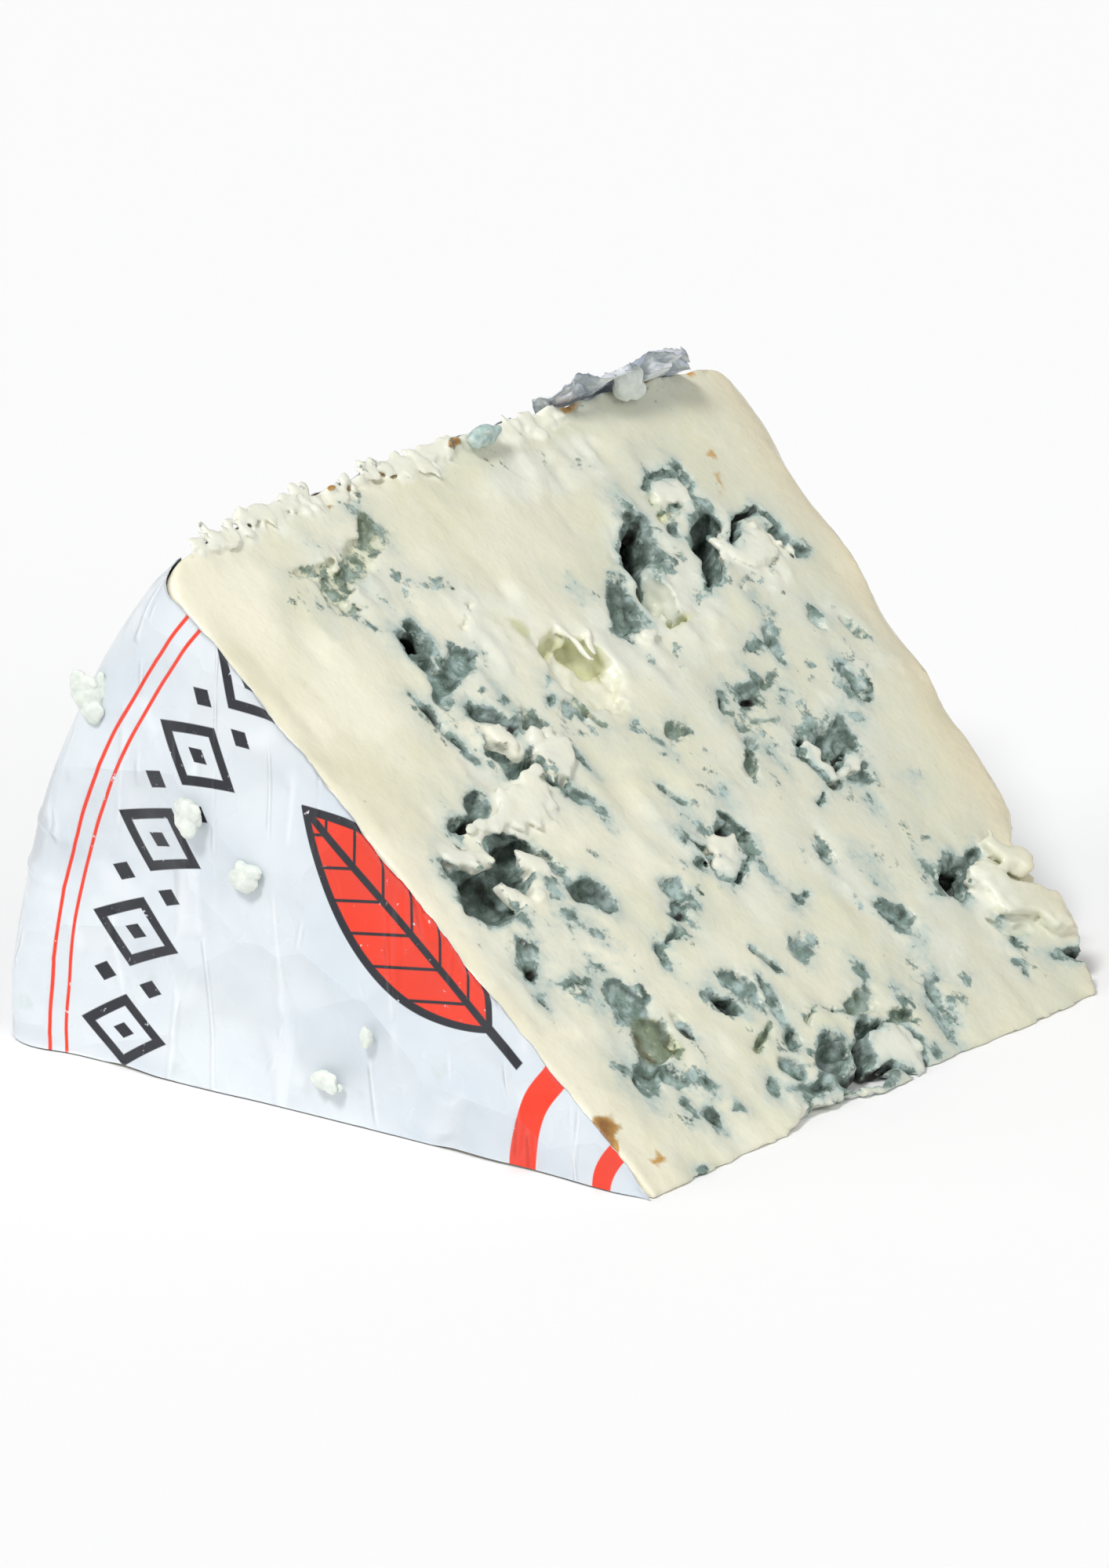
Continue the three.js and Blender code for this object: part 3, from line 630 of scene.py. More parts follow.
def torn_map():
    """How torn and milky the paste is over the face, 0 to 1: most beside the deep hollows."""
    torn = np.zeros((len(UP), len(ACROSS)), np.float32)
    for feature in HOLLOWS:
        across, up, long, short, _, depth, _ = feature
        where = (span(UP, up - long - 9, up + long + 9), span(ACROSS, across - long - 9, across + long + 9))
        reach = ellipse_reach(feature, ACROSS[where[1]][None, :], UP[where[0]][:, None])
        glow = np.exp(-np.maximum((reach - 1) * short, 0) / 2.6) * min(1, 0.3 + depth / 5)
        torn[where] = 1 - (1 - torn[where]) * (1 - 0.75 * glow)
    for across, up, half_across, half_up in TORN_PLACES:
        reach = np.hypot((ACROSS[None, :] - across) / half_across, (UP[:, None] - up) / half_up)
        torn = np.maximum(torn, 1 - smoothstep(0.4, 1.2, reach))
    patches = smoothstep(-0.6, 1.0, lattice_noise((UP, ACROSS), (7.0, 4.0), 8))
    return torn * (0.35 + 0.65 * patches)


def face_height(torn):
    """The cut face's own relief: swell, marks the wire dragged down the face, and torn paste."""
    plane = (UP, ACROSS)
    swell = 0.15 * lattice_noise(plane, 9.0, 1) + 0.07 * lattice_noise(plane, 3.2, 2)
    drag = 0.09 * lattice_noise(plane, (8.0, 1.6), 4) + 0.04 * lattice_noise(plane, (3.5, 0.9), 5)
    tear = torn * (0.16 * lattice_noise(plane, (2.6, 1.3), 6) + 0.09 * lattice_noise(plane, 0.9, 7))
    crumble = 0.45 * lattice_noise(plane, 1.5, 3) + 0.25 * lattice_noise(plane, 0.9, 10)
    rough = smoothstep(94.2, 96.2, UP)[:, None] * crumble
    near_wear = 0.35 + 0.3 * lattice_noise(plane, (4.0, 9.0), 9)
    by_near = (1 - smoothstep(-0.5, 1.8, ACROSS))[None, :] * near_wear
    from_far = HEART_THICKNESS + UP[:, None] * math.tan(FACE_SLOPE) - ACROSS[None, :]
    far_wear = 0.55 + 0.45 * lattice_noise(plane, (5.0, 9.0), 16)
    by_far = (1 - smoothstep(-0.5, 2.6, from_far)) * far_wear
    return swell + drag + tear + rough - by_near - np.maximum(by_far, 0) - 0.2


def cheese_field():
    """Distance to the whole piece on the lattice, with its skin and its torn map."""
    body = wheel_field()
    torn = torn_map()
    top = OUT[None, None, :] - face_height(torn)[:, :, None]
    body = round_join(body, top, 0.5)
    skin = Skin(body[:, :, SKIN:])
    edge_losses(skin)
    for feature in HOLLOWS:
        skin.hollow(feature)
    for feature in LUMPS + TONGUES:
        skin.lump(feature)
    for points, width, depth, _ in CRACKS:
        skin.crack(points, width, depth)
    far_flake(body, skin)
    ground = -UP[:, None, None] * SIN - OUT[None, None, :] * COS
    body = round_join(body, ground, 0.7)
    return body.astype(np.float32), skin, torn


def edge_losses(skin):
    """The ragged sharp edge, with its dip."""
    up = UP[:, None, None] + 0.5 * skin.warp_up
    across = ACROSS[None, :, None] + 0.8 * skin.warp_across
    dip = 3.3 * np.exp(-(((across - 36) / 9.5) ** 4)) - 0.8
    dip = dip + 2.0 * smoothstep(86, 93, across)
    lost = up - dip - 0.25 * skin.grain
    skin.field[...] = np.maximum(skin.field, -lost)


# Where the flake's broken face stands: up, across.
FLAKE_FACE = [(-3, 88), (2, 90.5), (6, 93), (10, 94), (19, 94.3), (22.5, 95.3), (26, 99), (30, 115)]


def far_flake(body, skin):
    """The broken face where a flake is gone at the far end of the sharp edge."""
    wall = np.interp(UP, *zip(*FLAKE_FACE)).astype(np.float32)
    broken = (ACROSS[None, :, None] - wall[:, None, None]) * 0.9
    body[...] = np.maximum(body, broken)
    rough = broken + 0.7 * skin.warp_across + 0.25 * skin.grain
    skin.field[...] = np.maximum(skin.field, rough)


# ---- Meshes ----
def keep_largest_body(points, faces):
    """Leaves out loose islands. Faces is a list of index arrays of 3 or 4 columns."""
    label = np.arange(len(points))
    pairs = [np.stack([f[:, i], f[:, (i + 1) % f.shape[1]]], 1) for f in faces for i in range(f.shape[1])]
    a, b = np.concatenate(pairs).T
    before = None
    while not np.array_equal(before, label):
        before = label.copy()
        low = np.minimum(label[a], label[b])
        np.minimum.at(label, a, low)
        np.minimum.at(label, b, low)
        label = label[label]
    kept = label == np.bincount(label).argmax()
    number = np.cumsum(kept) - 1
    return points[kept], [number[f[kept[f[:, 0]]]] for f in faces]


def surface_of(field, adaptivity):
    """The surface of a distance field's largest body: its points in lattice steps, and its faces."""
    grid = openvdb.FloatGrid(3.0)
    grid.copyFromArray(field)
    places, triangles, quads = grid.convertToPolygons(isovalue=0.0, adaptivity=adaptivity)
    return keep_largest_body(places, [triangles, quads])


def new_object(name, points, faces, materials, picks=None):
    """A smooth-shaded piece. Picks holds each face's material number, when there are several."""
    mesh = bpy.data.meshes.new(name)
    mesh.from_pydata(points.tolist(), [], [f for group in faces for f in group.tolist()])
    for material in materials:
        mesh.materials.append(material)
    if picks is not None:
        mesh.polygons.foreach_set("material_index", np.ascontiguousarray(picks, np.int32))
    mesh.polygons.foreach_set("use_smooth", np.ones(len(mesh.polygons), bool))
    piece = bpy.data.objects.new(name, mesh)
    bpy.context.scene.collection.objects.link(piece)
    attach(piece, "root")
    return piece


def paint(piece, name, values):
    layer = piece.data.attributes.new(name, "FLOAT_COLOR", "POINT")
    layer.data.foreach_set("color", np.ascontiguousarray(values, np.float32).ravel())


def sample(field, places):
    """A skin lattice's values at lattice places, straight-line between neighbours."""
    shape = np.array(field.shape)
    place = np.clip(places - [0, 0, SKIN], 0, shape - 1.001)
    first = place.astype(int)
    f = place - first
    total = np.zeros(len(place), np.float32)
    for corner in np.ndindex(2, 2, 2):
        cell = first + corner
        total += np.prod(np.where(corner, f, 1 - f), axis=1) * field[cell[:, 0], cell[:, 1], cell[:, 2]]
    return total


def deepen(layer, near, amounts):
    """Raises a painted layer to at least these amounts."""
    layer[near] = np.maximum(layer[near], amounts)


class FacePaint:
    """The painted amounts at the cheese's points, each from 0 to 1."""

    def __init__(self, up, across, out, skin, places):
        self.up, self.across, self.out = up, across, out
        self.warp_across = sample(skin.warp_across, places)
        self.warp_up = sample(skin.warp_up, places)
        self.mould, self.dark, self.olive, self.halo, self.amber, self.white = np.zeros((6, len(up)))

    def nearby(self, across, up, reach):
        """The numbers of the skin's points within reach of a span of the face."""
        near = (self.across > across[0] - reach) & (self.across < across[1] + reach)
        near &= (self.up > up[0] - reach) & (self.up < up[1] + reach)
        return np.flatnonzero(near & (self.out > -SKIN_DEPTH))

    def warped(self, near, strength):
        across = self.across[near] + strength * self.warp_across[near]
        return across, self.up[near] + strength * self.warp_up[near]

    def lay(self, near, reach, width, tone, depth):
        """Paints a feature's tone inside its outline, with painted shade deeper in hollows, and its halo
        around it. Returns its mould.
        """
        mould, dark, olive, amber = TONES[tone]
        outside = (reach - 1) * width
        inside = 1 - smoothstep(-0.55, 0.75, outside)
        # Painted shade: in a hollow the dark layer grows from about a third at its mouth to full deep down.
        depth_shade = 1 if depth == 0 else 0.35 + 0.65 * smoothstep(0.2, 0.75, -self.out[near] / depth)
        deepen(self.mould, near, inside * mould)
        deepen(self.dark, near, inside * dark * depth_shade)
        deepen(self.olive, near, inside * olive)
        deepen(self.amber, near, inside * amber)
        deepen(self.halo, near, np.exp(-np.maximum(outside, 0) / 1.7) * mould)
        return inside * mould

    def oval(self, feature):
        """A hollow or a flat stain, with dark mould and painted shade along one side of its edge."""
        across, up, long, short, _, depth, tone = feature
        near = self.nearby((across, across), (up, up), long + 4)
        reach = ellipse_reach(feature, *self.warped(near, bend(short)))
        inside = self.lay(near, reach, short, tone, depth)
        # Painted shade: a darker band along one side of the outline, over the feature's own dark mould.
        da, du = self.across[near] - across, self.up[near] - up
        side = (da + 0.4 * du) / (1.08 * np.hypot(da, du) + 1e-6)
        shade_crescent = smoothstep(0.5, 0.95, reach) * (0.25 + 0.75 * smoothstep(-0.2, 0.8, side))
        deepen(self.dark, near, 0.6 * inside * shade_crescent)

    def lump(self, feature, whiteness):
        """Clean paste over whatever lies under it."""
        across, up, long = feature[:3]
        near = self.nearby((across, across), (up, up), long + 2)
        solid = lump_field(feature, *self.warped(near, 1), self.out[near])
        on_lump = 1 - smoothstep(0.1, 0.45, solid)
        for layer in (self.mould, self.dark, self.olive, self.amber, self.halo):
            layer[near] *= 1 - 0.72 * on_lump
        deepen(self.white, near, whiteness * on_lump)

    def crack(self, points, width, depth, tone):
        across, up = zip(*points)
        near = self.nearby((min(across), max(across)), (min(up), max(up)), 3)
        self.lay(near, crack_reach(points, width, *self.warped(near, 0.6)), width, tone, depth)

    def features(self):
        for feature in HOLLOWS + [(*stain[:5], 0, stain[5]) for stain in STAINS]:
            self.oval(feature)
        for feature in LUMPS:
            self.lump(feature, 0.6)
        for feature in TONGUES:
            self.lump(feature, 0.0)
        for crack in CRACKS:
            self.crack(*crack)

    def torn(self, torn, places):
        """Milky paste where the face is torn."""
        column = np.clip(np.rint(places[:, :2]).astype(int), 0, np.array(torn.shape) - 1)
        milk = torn[column[:, 0], column[:, 1]] * smoothstep(-8, -1, self.out)
        self.white = np.maximum(self.white, 0.6 * milk)

    def layers(self):
        """Two colour layers: mould, dark (dark mould and painted shade), olive and halo, then amber, white,
        warm edge and wet.
        """
        from_axis = np.hypot(self.up, self.out)
        from_far = HEART_THICKNESS + from_axis * math.tan(FACE_SLOPE) - self.across
        mould = np.maximum(self.mould, 0.3 * smoothstep(95.8, 96.8, from_axis))
        white = np.maximum(self.white, 0.9 * smoothstep(95.0, 96.4, from_axis))
        warm = np.maximum(1 - smoothstep(1.0, 9.0, from_far), 0.3 * (1 - smoothstep(1.0, 14.0, self.across)))
        wet = np.maximum(1 - smoothstep(0.0, 14.0, self.up), 1 - smoothstep(0, 12, from_far))
        veins = np.stack([mould, self.dark, self.olive, self.halo], 1)
        return veins, np.stack([self.amber, white, warm, wet], 1)


def build_cheese():
    field, skin, torn = cheese_field()
    places, faces = surface_of(field, 0.03)
    up, across, out = (axis[0] + places[:, i] * STEP for i, axis in enumerate((UP, ACROSS, OUT)))
    piece = new_object("cheese_paste", world(across, up, out), faces, [cheese_material()])
    colours = FacePaint(up, across, out, skin, places)
    colours.features()
    colours.torn(torn, places)
    veins, stains = colours.layers()
    paint(piece, "veins", veins)
    paint(piece, "stains", stains)
    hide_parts("cheese_wedge")


# ---- The foil paper ----
FOIL_THICK = 0.1
FOIL_OFF = 0.15  # the least gap between the foil and the cheese
FOIL_STEP = 0.72
FOIL_COLUMNS = 92  # points from the ground to the cut face
FOLD_COUNT = 150


def rows(radius, across, out_radius, out_across):
    return np.stack(np.broadcast_arrays(radius, across, out_radius, out_across), -1)


def corner_rows(turn, centre):
    cos, sin = np.cos(turn), np.sin(turn)
    return rows(CORNER_OUT + CORNER * cos, centre + CORNER * sin, cos, sin)


def foil_profile():
    """The foil's line in a plane through the wheel's axis: rows of radius, across and outward normal."""
    r = np.arange(0.8, CORNER_OUT, FOIL_STEP)
    near = rows(r, 0, 0, -1)
    near_corner = corner_rows(np.radians(np.linspace(-90, 0, 13)), CORNER)
    across = np.arange(CORNER, FAR_CENTRE, FOIL_STEP)[1:]
    rim = rows(rim_radius(across), across, 1, 0)
    far_corner = corner_rows(np.linspace(0, math.pi / 2 + FACE_SLOPE, 13), FAR_CENTRE)
    r = np.arange(CORNER_OUT - 2, 9, -2 * FOIL_STEP)
    across = HEART_THICKNESS + r * math.tan(FACE_SLOPE)
    far = rows(r, across, -math.sin(FACE_SLOPE), math.cos(FACE_SLOPE))
    return np.concatenate([near, near_corner, rim, far_corner, far])


def straight_folds(points, count, seed):
    """Straight ridges, each where the sheet crosses a random plane, fading out along their length."""
    random = np.random.default_rng(seed)
    total = np.zeros(len(points))
    spread = [RADIUS, RIM_THICKNESS, RADIUS * SIN]
    for _ in range(count):
        centre = random.uniform(0, 1, 3) * spread
        normal = random.standard_normal(3)
        normal /= np.linalg.norm(normal)
        length = random.uniform(6, 24)
        width = random.uniform(0.5, 1.1)
        aside = (points - centre) @ normal
        away_by = np.linalg.norm(points - centre - aside[:, None] * normal, axis=1)
        ridge = np.exp(-np.hypot(aside, 0.5) / width) * (1 - smoothstep(0.4, 1.0, away_by / length))
        total += random.uniform(0.15, 0.5) * ridge
    return total


def creases(points, cell, seed):
    """Ridge lines, 0 to 1."""
    half_width = 0.22
    return np.maximum(0, 1 - np.abs(noise_at(points, cell, seed)) / half_width) ** 1.5


def foil_lift(radius, across, theta):
    """How far each point of the sheet stands off the cheese, beyond the least gap."""
    places = np.broadcast_arrays(radius * np.cos(theta), across, radius * np.sin(theta))
    flat = np.stack(places, -1).reshape(-1, 3)
    patch = 0.5 + 0.5 * noise_at(flat, 17, 41)
    low = 0.5 * patch + 0.22 * (1 + noise_at(flat, 8, 42))
    fold = straight_folds(flat, FOLD_COUNT, 43)
    pleat = 0.5 * creases(flat * [1, 0.5, 1], 8, 45) + 0.5 * (1 + noise_at(flat, 9, 46))
    slack = 1.3 * smoothstep(10, 95, flat[:, 0]) * np.exp(-((flat[:, 1] - 6) / 22) ** 2)
    loose = 0.6 * pleat + slack * smoothstep(60, 0, flat[:, 2])
    return (low + fold).reshape(theta.shape) + smoothstep(84, 93, radius) * loose.reshape(theta.shape)


def foil_edge(radius, across):
    """How far the sheet's edge stands above the cut face, in millimetres."""
    line = np.stack([radius, across, np.zeros_like(radius)], 1)
    ragged = noise_at(line, 2.3, 51) + 0.6 * noise_at(line, 0.9, 52)
    on_rim = smoothstep(86, 94, radius)
    height = -0.2 + 0.22 * ragged + on_rim * (0.9 * noise_at(line, 1.7, 53) - 0.7)
    height = height - 0.7 * smoothstep(82, 88, radius) * (1 - smoothstep(6, 10, across))
    along = np.arange(len(radius)) / len(radius)
    torn = (across > 60) * (1 - smoothstep(24, 31, radius))
    far_corner = (along > 0.5) * smoothstep(FAR_CENTRE - 3, FAR_CENTRE + 2, across)
    far = np.maximum(along > 0.66, far_corner)
    return height - far * (1.6 + 7.5 * torn) - 1.6 * far_corner


def foil_grid():
    """The sheet's outer and inner layers of points, row by row along its profile."""
    radius, across, out_radius, out_across = foil_profile().T
    line = np.stack([radius, across, np.zeros_like(radius)], 1)
    low = (0.2 + 0.5 * np.maximum(noise_at(line, 7, 54), 0)) / radius
    high = np.maximum(ANGLE + foil_edge(radius, across) / np.maximum(radius, 3), low + 0.02)
    lip = np.maximum(0, 0.15 + 0.3 * noise_at(line, 6.5, 55))
    columns = (radius, across, out_radius, out_across, low, high, lip)
    radius, across, out_radius, out_across, low, high, lip = (column[:, None] for column in columns)
    share = np.linspace(0, 1, FOIL_COLUMNS)
    theta = low * (1 - share) + high * share
    from_cut = radius * (high - theta)
    lift = foil_lift(radius, across, theta) * (0.15 + 0.85 * smoothstep(0, 5, from_cut))
    lift = lift + lip * (1 - smoothstep(0, 0.9, from_cut))

    def layer(height):
        r = radius + out_radius * height
        return TIP + np.stack([-r * np.cos(theta), across + out_across * height, r * np.sin(theta)], -1) * MM

    return layer(lift + FOIL_OFF + FOIL_THICK), layer(lift + FOIL_OFF)


TAB = (76.5, 101.0)  # across, where the torn foil stands up at the rim
TAB_HEIGHT = 8.4
# The tab's ragged top: place along it, share of its height.
TAB_TOP = [(0, 0.1), (0.12, 0.55), (0.4, 0.7), (0.7, 1), (0.85, 0.85), (1, 0.25)]


def tab_grid():
    """The torn tab: a crumpled strip that rises at the rim and curls over towards the cut face."""
    u, v = np.meshgrid(np.linspace(0, 1, 110), np.linspace(0, 1, 44), indexing="ij")
    across = TAB[0] + (TAB[1] - TAB[0]) * u
    rise = TAB_HEIGHT * np.interp(u, *zip(*TAB_TOP)) * v
    curl = np.clip((u - 0.25) / 0.5, 0, 1) * 1.6 * v**2
    flat = np.stack([across, rise, np.zeros_like(rise)], -1).reshape(-1, 3)
    crumple = 1.0 * noise_at(flat, 3.4, 61) + 1.0 * creases(flat, 3.0, 62) + 0.4 * creases(flat, 1.4, 64)
    crumple = crumple.reshape(rise.shape)
    wave = noise_at(flat, 4.2, 63).reshape(rise.shape)
    free = smoothstep(0, 0.35, v)
    up = rim_radius(across) + 0.6 - curl * 0.9 + free * (crumple - 0.4)
    out = rise * (1 - 0.12 * np.clip(curl, 0, 3)) - 2.2 * (1 - v) + 0.7 * free * wave
    side = across - 2.2 * v * (1 - u) + 0.5 * free * wave
    return world(side, up + 0.1, out), world(side, up, out - 0.04)


def turns_away(points, face, below):
    """Whether a face of the outer layer turns away from the inner layer, that many points on."""
    p = points[face]
    return np.dot(np.cross(p[1] - p[0], p[3] - p[0]), p[0] - points[face[0] + below]) >= 0


def two_sided(outer, inner):
    """A closed sheet from two layers of points: points, faces, and 0 for outer faces, 1 for the others."""
    size = outer.shape[0] * outer.shape[1]
    points = np.concatenate([outer.reshape(-1, 3), inner.reshape(-1, 3)])
    number = np.arange(size).reshape(outer.shape[:2])
    corners = [number[:-1, :-1], number[1:, :-1], number[1:, 1:], number[:-1, 1:]]
    top = np.stack(corners, -1).reshape(-1, 4)
    border = np.concatenate([number[0, :], number[1:, -1], number[-1, -2::-1], number[-2:0:-1, 0]])
    after = np.roll(border, -1)
    side = np.stack([border, after, after + size, border + size], 1)
    if turns_away(points, top[len(top) // 2], size):
        side = side[:, ::-1]
    else:
        top = top[:, ::-1]
    faces = np.concatenate([top, top[:, ::-1] + size, side])
    silver = np.ones(len(faces), int)
    silver[: len(top)] = 0
    return points, faces, silver


def build_foil():
    points, faces, silver = two_sided(*foil_grid())
    tab_points, tab_faces, _ = two_sided(*tab_grid())
    faces = np.concatenate([faces, tab_faces + len(points)])
    silver = np.concatenate([silver, np.ones(len(tab_faces), int)])
    points = np.concatenate([points, tab_points])
    materials = [print_material(), silver_material()]
    piece = new_object("foil_paper", points, [faces], materials, silver)
    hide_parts("foil_wrapper")


# ---- Crumbs ----
CRUMB_STEP = 0.11


def crumb_mesh(half, seed):
    """A crumbly lump that fills a box of those half sizes, around the origin, in millimetres."""
    random = np.random.default_rng(seed)
    axes = [np.arange(-h - 0.3, h + 0.3, CRUMB_STEP) for h in half]
    points = np.stack(np.meshgrid(*axes, indexing="ij"), -1)
    balls = [(np.zeros(3), half * 0.8)]
    for _ in range(7):
        balls.append((random.uniform(-0.55, 0.55, 3) * half, half * random.uniform(0.35, 0.6, 3)))
    field = np.full(points.shape[:3], 1e3)
    for centre, radii in balls:
        radii = np.maximum(radii, 0.35)
        field = np.minimum(field, (np.linalg.norm((points - centre) / radii, axis=-1) - 1) * radii.min())
    flat = points.reshape(-1, 3)
    grain = 0.14 * noise_at(flat, 1.1, seed + 1) + 0.04 * noise_at(flat, 0.4, seed + 2)
    places, faces = surface_of((field + grain.reshape(field.shape)).astype(np.float32), 0.0)
    return [axis[0] for axis in axes] + places * CRUMB_STEP, faces


def build_crumbs():
    white = crumb_material("cheese_crumb", srgb(223, 228, 220), srgb(208, 216, 209))
    blue = crumb_material("mould_crumb", srgb(150, 176, 172), srgb(196, 210, 204))
    swell = [1.15, 1.0, 1.15]  # the lumps alone don't fill their box
    for number in range(1, 8):
        low, high = (np.array(corner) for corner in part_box(f"crumb_{number}"))
        if number == 7:
            high[2] += 2.2 * MM  # it climbs the torn tab
        points, faces = crumb_mesh((high - low) / 2 / MM * swell, 70 + 5 * number)
        material, slot = (blue, "mould_crumb") if number == 6 else (white, "cheese_crumb")
        piece = new_object(f"crumb_piece_{number}", (low + high) / 2 + points * MM, faces, [material])
        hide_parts(f"crumb_{number}")


# ---- Materials ----
def srgb(red, green, blue):
    """A colour given in the usual 0 to 255 steps."""
    def linear(step):
        share = step / 255
        return share / 12.92 if share <= 0.04045 else ((share + 0.055) / 1.055) ** 2.4
    return (linear(red), linear(green), linear(blue), 1.0)


class Nodes:
    """Short ways to add and join shader nodes."""

    def __init__(self, name):
        self.material = bpy.data.materials.new(name)
        self.material.use_nodes = True
        self.tree = self.material.node_tree
        self.shader = self.tree.nodes["Principled BSDF"]

    def put(self, socket, value):
        if isinstance(value, bpy.types.NodeSocket):
            self.tree.links.new(value, socket)
        else:
            socket.default_value = value

    def set(self, name, value):
        self.put(self.shader.inputs[name], value)

    def math(self, operation, *values):
        node = self.tree.nodes.new("ShaderNodeMath")
        node.operation = operation
        for socket, value in zip(node.inputs, values):
            self.put(socket, value)
        return node.outputs[0]

    def total(self, *pairs):
        """The sum of values, each times its share."""
        parts = [value if share == 1 else self.math("MULTIPLY", value, share) for value, share in pairs]
        total = parts[0]
        for part in parts[1:]:
            total = self.math("ADD", total, part)
        return total

    def ramp(self, value, low, high, first=0.0, last=1.0):
        """A smooth step from first to last, as value goes from low to high."""
        node = self.tree.nodes.new("ShaderNodeMapRange")
        node.interpolation_type = "SMOOTHSTEP"
        names = ("Value", "From Min", "From Max", "To Min", "To Max")
        for name, number in zip(names, (value, low, high, first, last)):
            self.put(node.inputs[name], number)
        return node.outputs[0]

    def mix(self, share, first, second):
        node = self.tree.nodes.new("ShaderNodeMix")
        node.data_type = "RGBA"
        self.put(node.inputs[0], share)
        self.put(node.inputs[6], first)
        self.put(node.inputs[7], second)
        return node.outputs[2]

    def noise(self, place, scale, detail, roughness=0.5):
        node = self.tree.nodes.new("ShaderNodeTexNoise")
        self.put(node.inputs["Vector"], place)
        node.inputs["Scale"].default_value = scale
        node.inputs["Detail"].default_value = detail
        node.inputs["Roughness"].default_value = roughness
        return node.outputs["Fac"]

    def cells(self, place, scale):
        """Distance to the nearest of scattered cell middles."""
        node = self.tree.nodes.new("ShaderNodeTexVoronoi")
        self.put(node.inputs["Vector"], place)
        node.inputs["Scale"].default_value = scale
        return node.outputs["Distance"]

    def layer(self, name):
        """A painted layer's four channels."""
        node = self.tree.nodes.new("ShaderNodeAttribute")
        node.attribute_name = name
        split = self.tree.nodes.new("ShaderNodeSeparateColor")
        self.tree.links.new(node.outputs["Color"], split.inputs[0])
        return [*split.outputs, node.outputs["Alpha"]]

    def object_place(self):
        return self.tree.nodes.new("ShaderNodeTexCoord").outputs["Object"]

    def place(self, turn=(0, 0, 0), stretch=(1, 1, 1), shift=(0, 0, 0)):
        """Object coordinates, moved, turned and stretched."""
        node = self.tree.nodes.new("ShaderNodeMapping")
        self.put(node.inputs["Vector"], self.object_place())
        node.inputs["Location"].default_value = shift
        node.inputs["Rotation"].default_value = turn
        node.inputs["Scale"].default_value = stretch
        return node.outputs[0]

    def axes(self):
        """The three object coordinates."""
        split = self.tree.nodes.new("ShaderNodeSeparateXYZ")
        self.put(split.inputs[0], self.object_place())
        return split.outputs

    def along_y(self, low, high):
        """0 to 1 from one place across the wheel to another."""
        return self.ramp(self.axes()[1], float(low), float(high))

    def bump(self, height, distance, strength=1.0):
        node = self.tree.nodes.new("ShaderNodeBump")
        node.inputs["Strength"].default_value = strength
        node.inputs["Distance"].default_value = distance
        self.put(node.inputs["Height"], height)
        self.set("Normal", node.outputs[0])


# Painted light and shade: the paste runs from lighter beside the printed face to darker at the far face.
PASTE_NEAR_PAINTED_LIGHT = srgb(243, 240, 219)  # beside the printed face
PASTE_FAR_PAINTED_SHADE = srgb(216, 215, 194)
PASTE_SECOND = srgb(221, 219, 191)
PASTE_WARM = srgb(221, 211, 182)
PASTE_WHITE = srgb(234, 234, 219)
PASTE_OLIVE = srgb(202, 203, 156)
HALO = srgb(198, 205, 193)
MOULD_PALE = srgb(172, 191, 187)
MOULD_MIDDLE = srgb(122, 143, 135)
MOULD_DARK = srgb(60, 75, 64)
MOULD_OLIVE = srgb(122, 128, 88)
# Near black: dark mould and painted shade in the deep holes.
HOLE_DARK_AND_SHADE = srgb(22, 23, 17)
AMBER = srgb(196, 154, 84)
BROWN = srgb(112, 62, 34)


class Paste(Nodes):
    """The cheese's shader nodes, from its painted layers."""

    def __init__(self, name):
        super().__init__(name)
        self.mould, self.dark, self.olive, self.halo = self.layer("veins")
        self.amber, self.white, self.warm, self.wet = self.layer("stains")
        here = self.place()
        self.mid = self.noise(here, 620, 3, 0.55)
        self.clouds = self.noise(here, 190, 3, 0.6)
        self.broad = self.noise(here, 70, 3, 0.5)
        self.speck = self.total((self.noise(here, 1900, 2, 0.6), 0.2), (self.mid, 0.8))
        self.jitter = self.math("SUBTRACT", self.speck, 0.5)

    def shaken(self, amount, share, low, high, most=1.0):
        """A painted amount with a speckled edge, from 0 at low to the most at high."""
        return self.ramp(self.total((amount, 1), (self.jitter, share)), low, high, 0.0, most)

    def paste(self):
        """Ivory paste with painted light beside the printed face and painted shade towards the far face, with
        milky, smoky and olive places.
        """
        # painted light and shade: lighter paste beside the printed face, darker towards the far face
        colour = self.mix(self.along_y(TIP[1] + 5 * MM, TIP[1] + 100 * MM), PASTE_NEAR_PAINTED_LIGHT, PASTE_FAR_PAINTED_SHADE)
        colour = self.mix(self.ramp(self.broad, 0.4, 0.66, 0.0, 0.75), colour, PASTE_SECOND)
        colour = self.mix(self.math("MULTIPLY", self.warm, 0.8), colour, PASTE_WARM)
        cloudy = self.math("SUBTRACT", self.clouds, 0.5)
        milk = self.ramp(self.total((self.white, 1), (cloudy, 1.2)), 0.1, 0.7)
        colour = self.mix(milk, colour, PASTE_WHITE)
        smoke = self.math("MULTIPLY", self.halo, self.ramp(self.clouds, 0.3, 0.6, 0.35, 1.0))
        colour = self.mix(self.math("MULTIPLY", smoke, 0.9), colour, HALO)
        colour = self.mix(self.shaken(self.halo, 1.2, 0.5, 1.0, 0.75), colour, MOULD_PALE)
        return self.mix(self.shaken(self.olive, 0.8, 0.1, 0.9, 0.8), colour, PASTE_OLIVE)

    def veins(self):
        """Mould from dark green to pale blue grey, or olive."""
        shade = self.noise(self.place(shift=(0.3, 0.1, 0.2)), 520, 4, 0.6)
        colour = self.mix(self.ramp(shade, 0.3, 0.46), MOULD_DARK, MOULD_MIDDLE)
        colour = self.mix(self.ramp(shade, 0.46, 0.64), colour, MOULD_PALE)
        return self.mix(self.math("MULTIPLY", self.olive, 0.6), colour, MOULD_OLIVE)


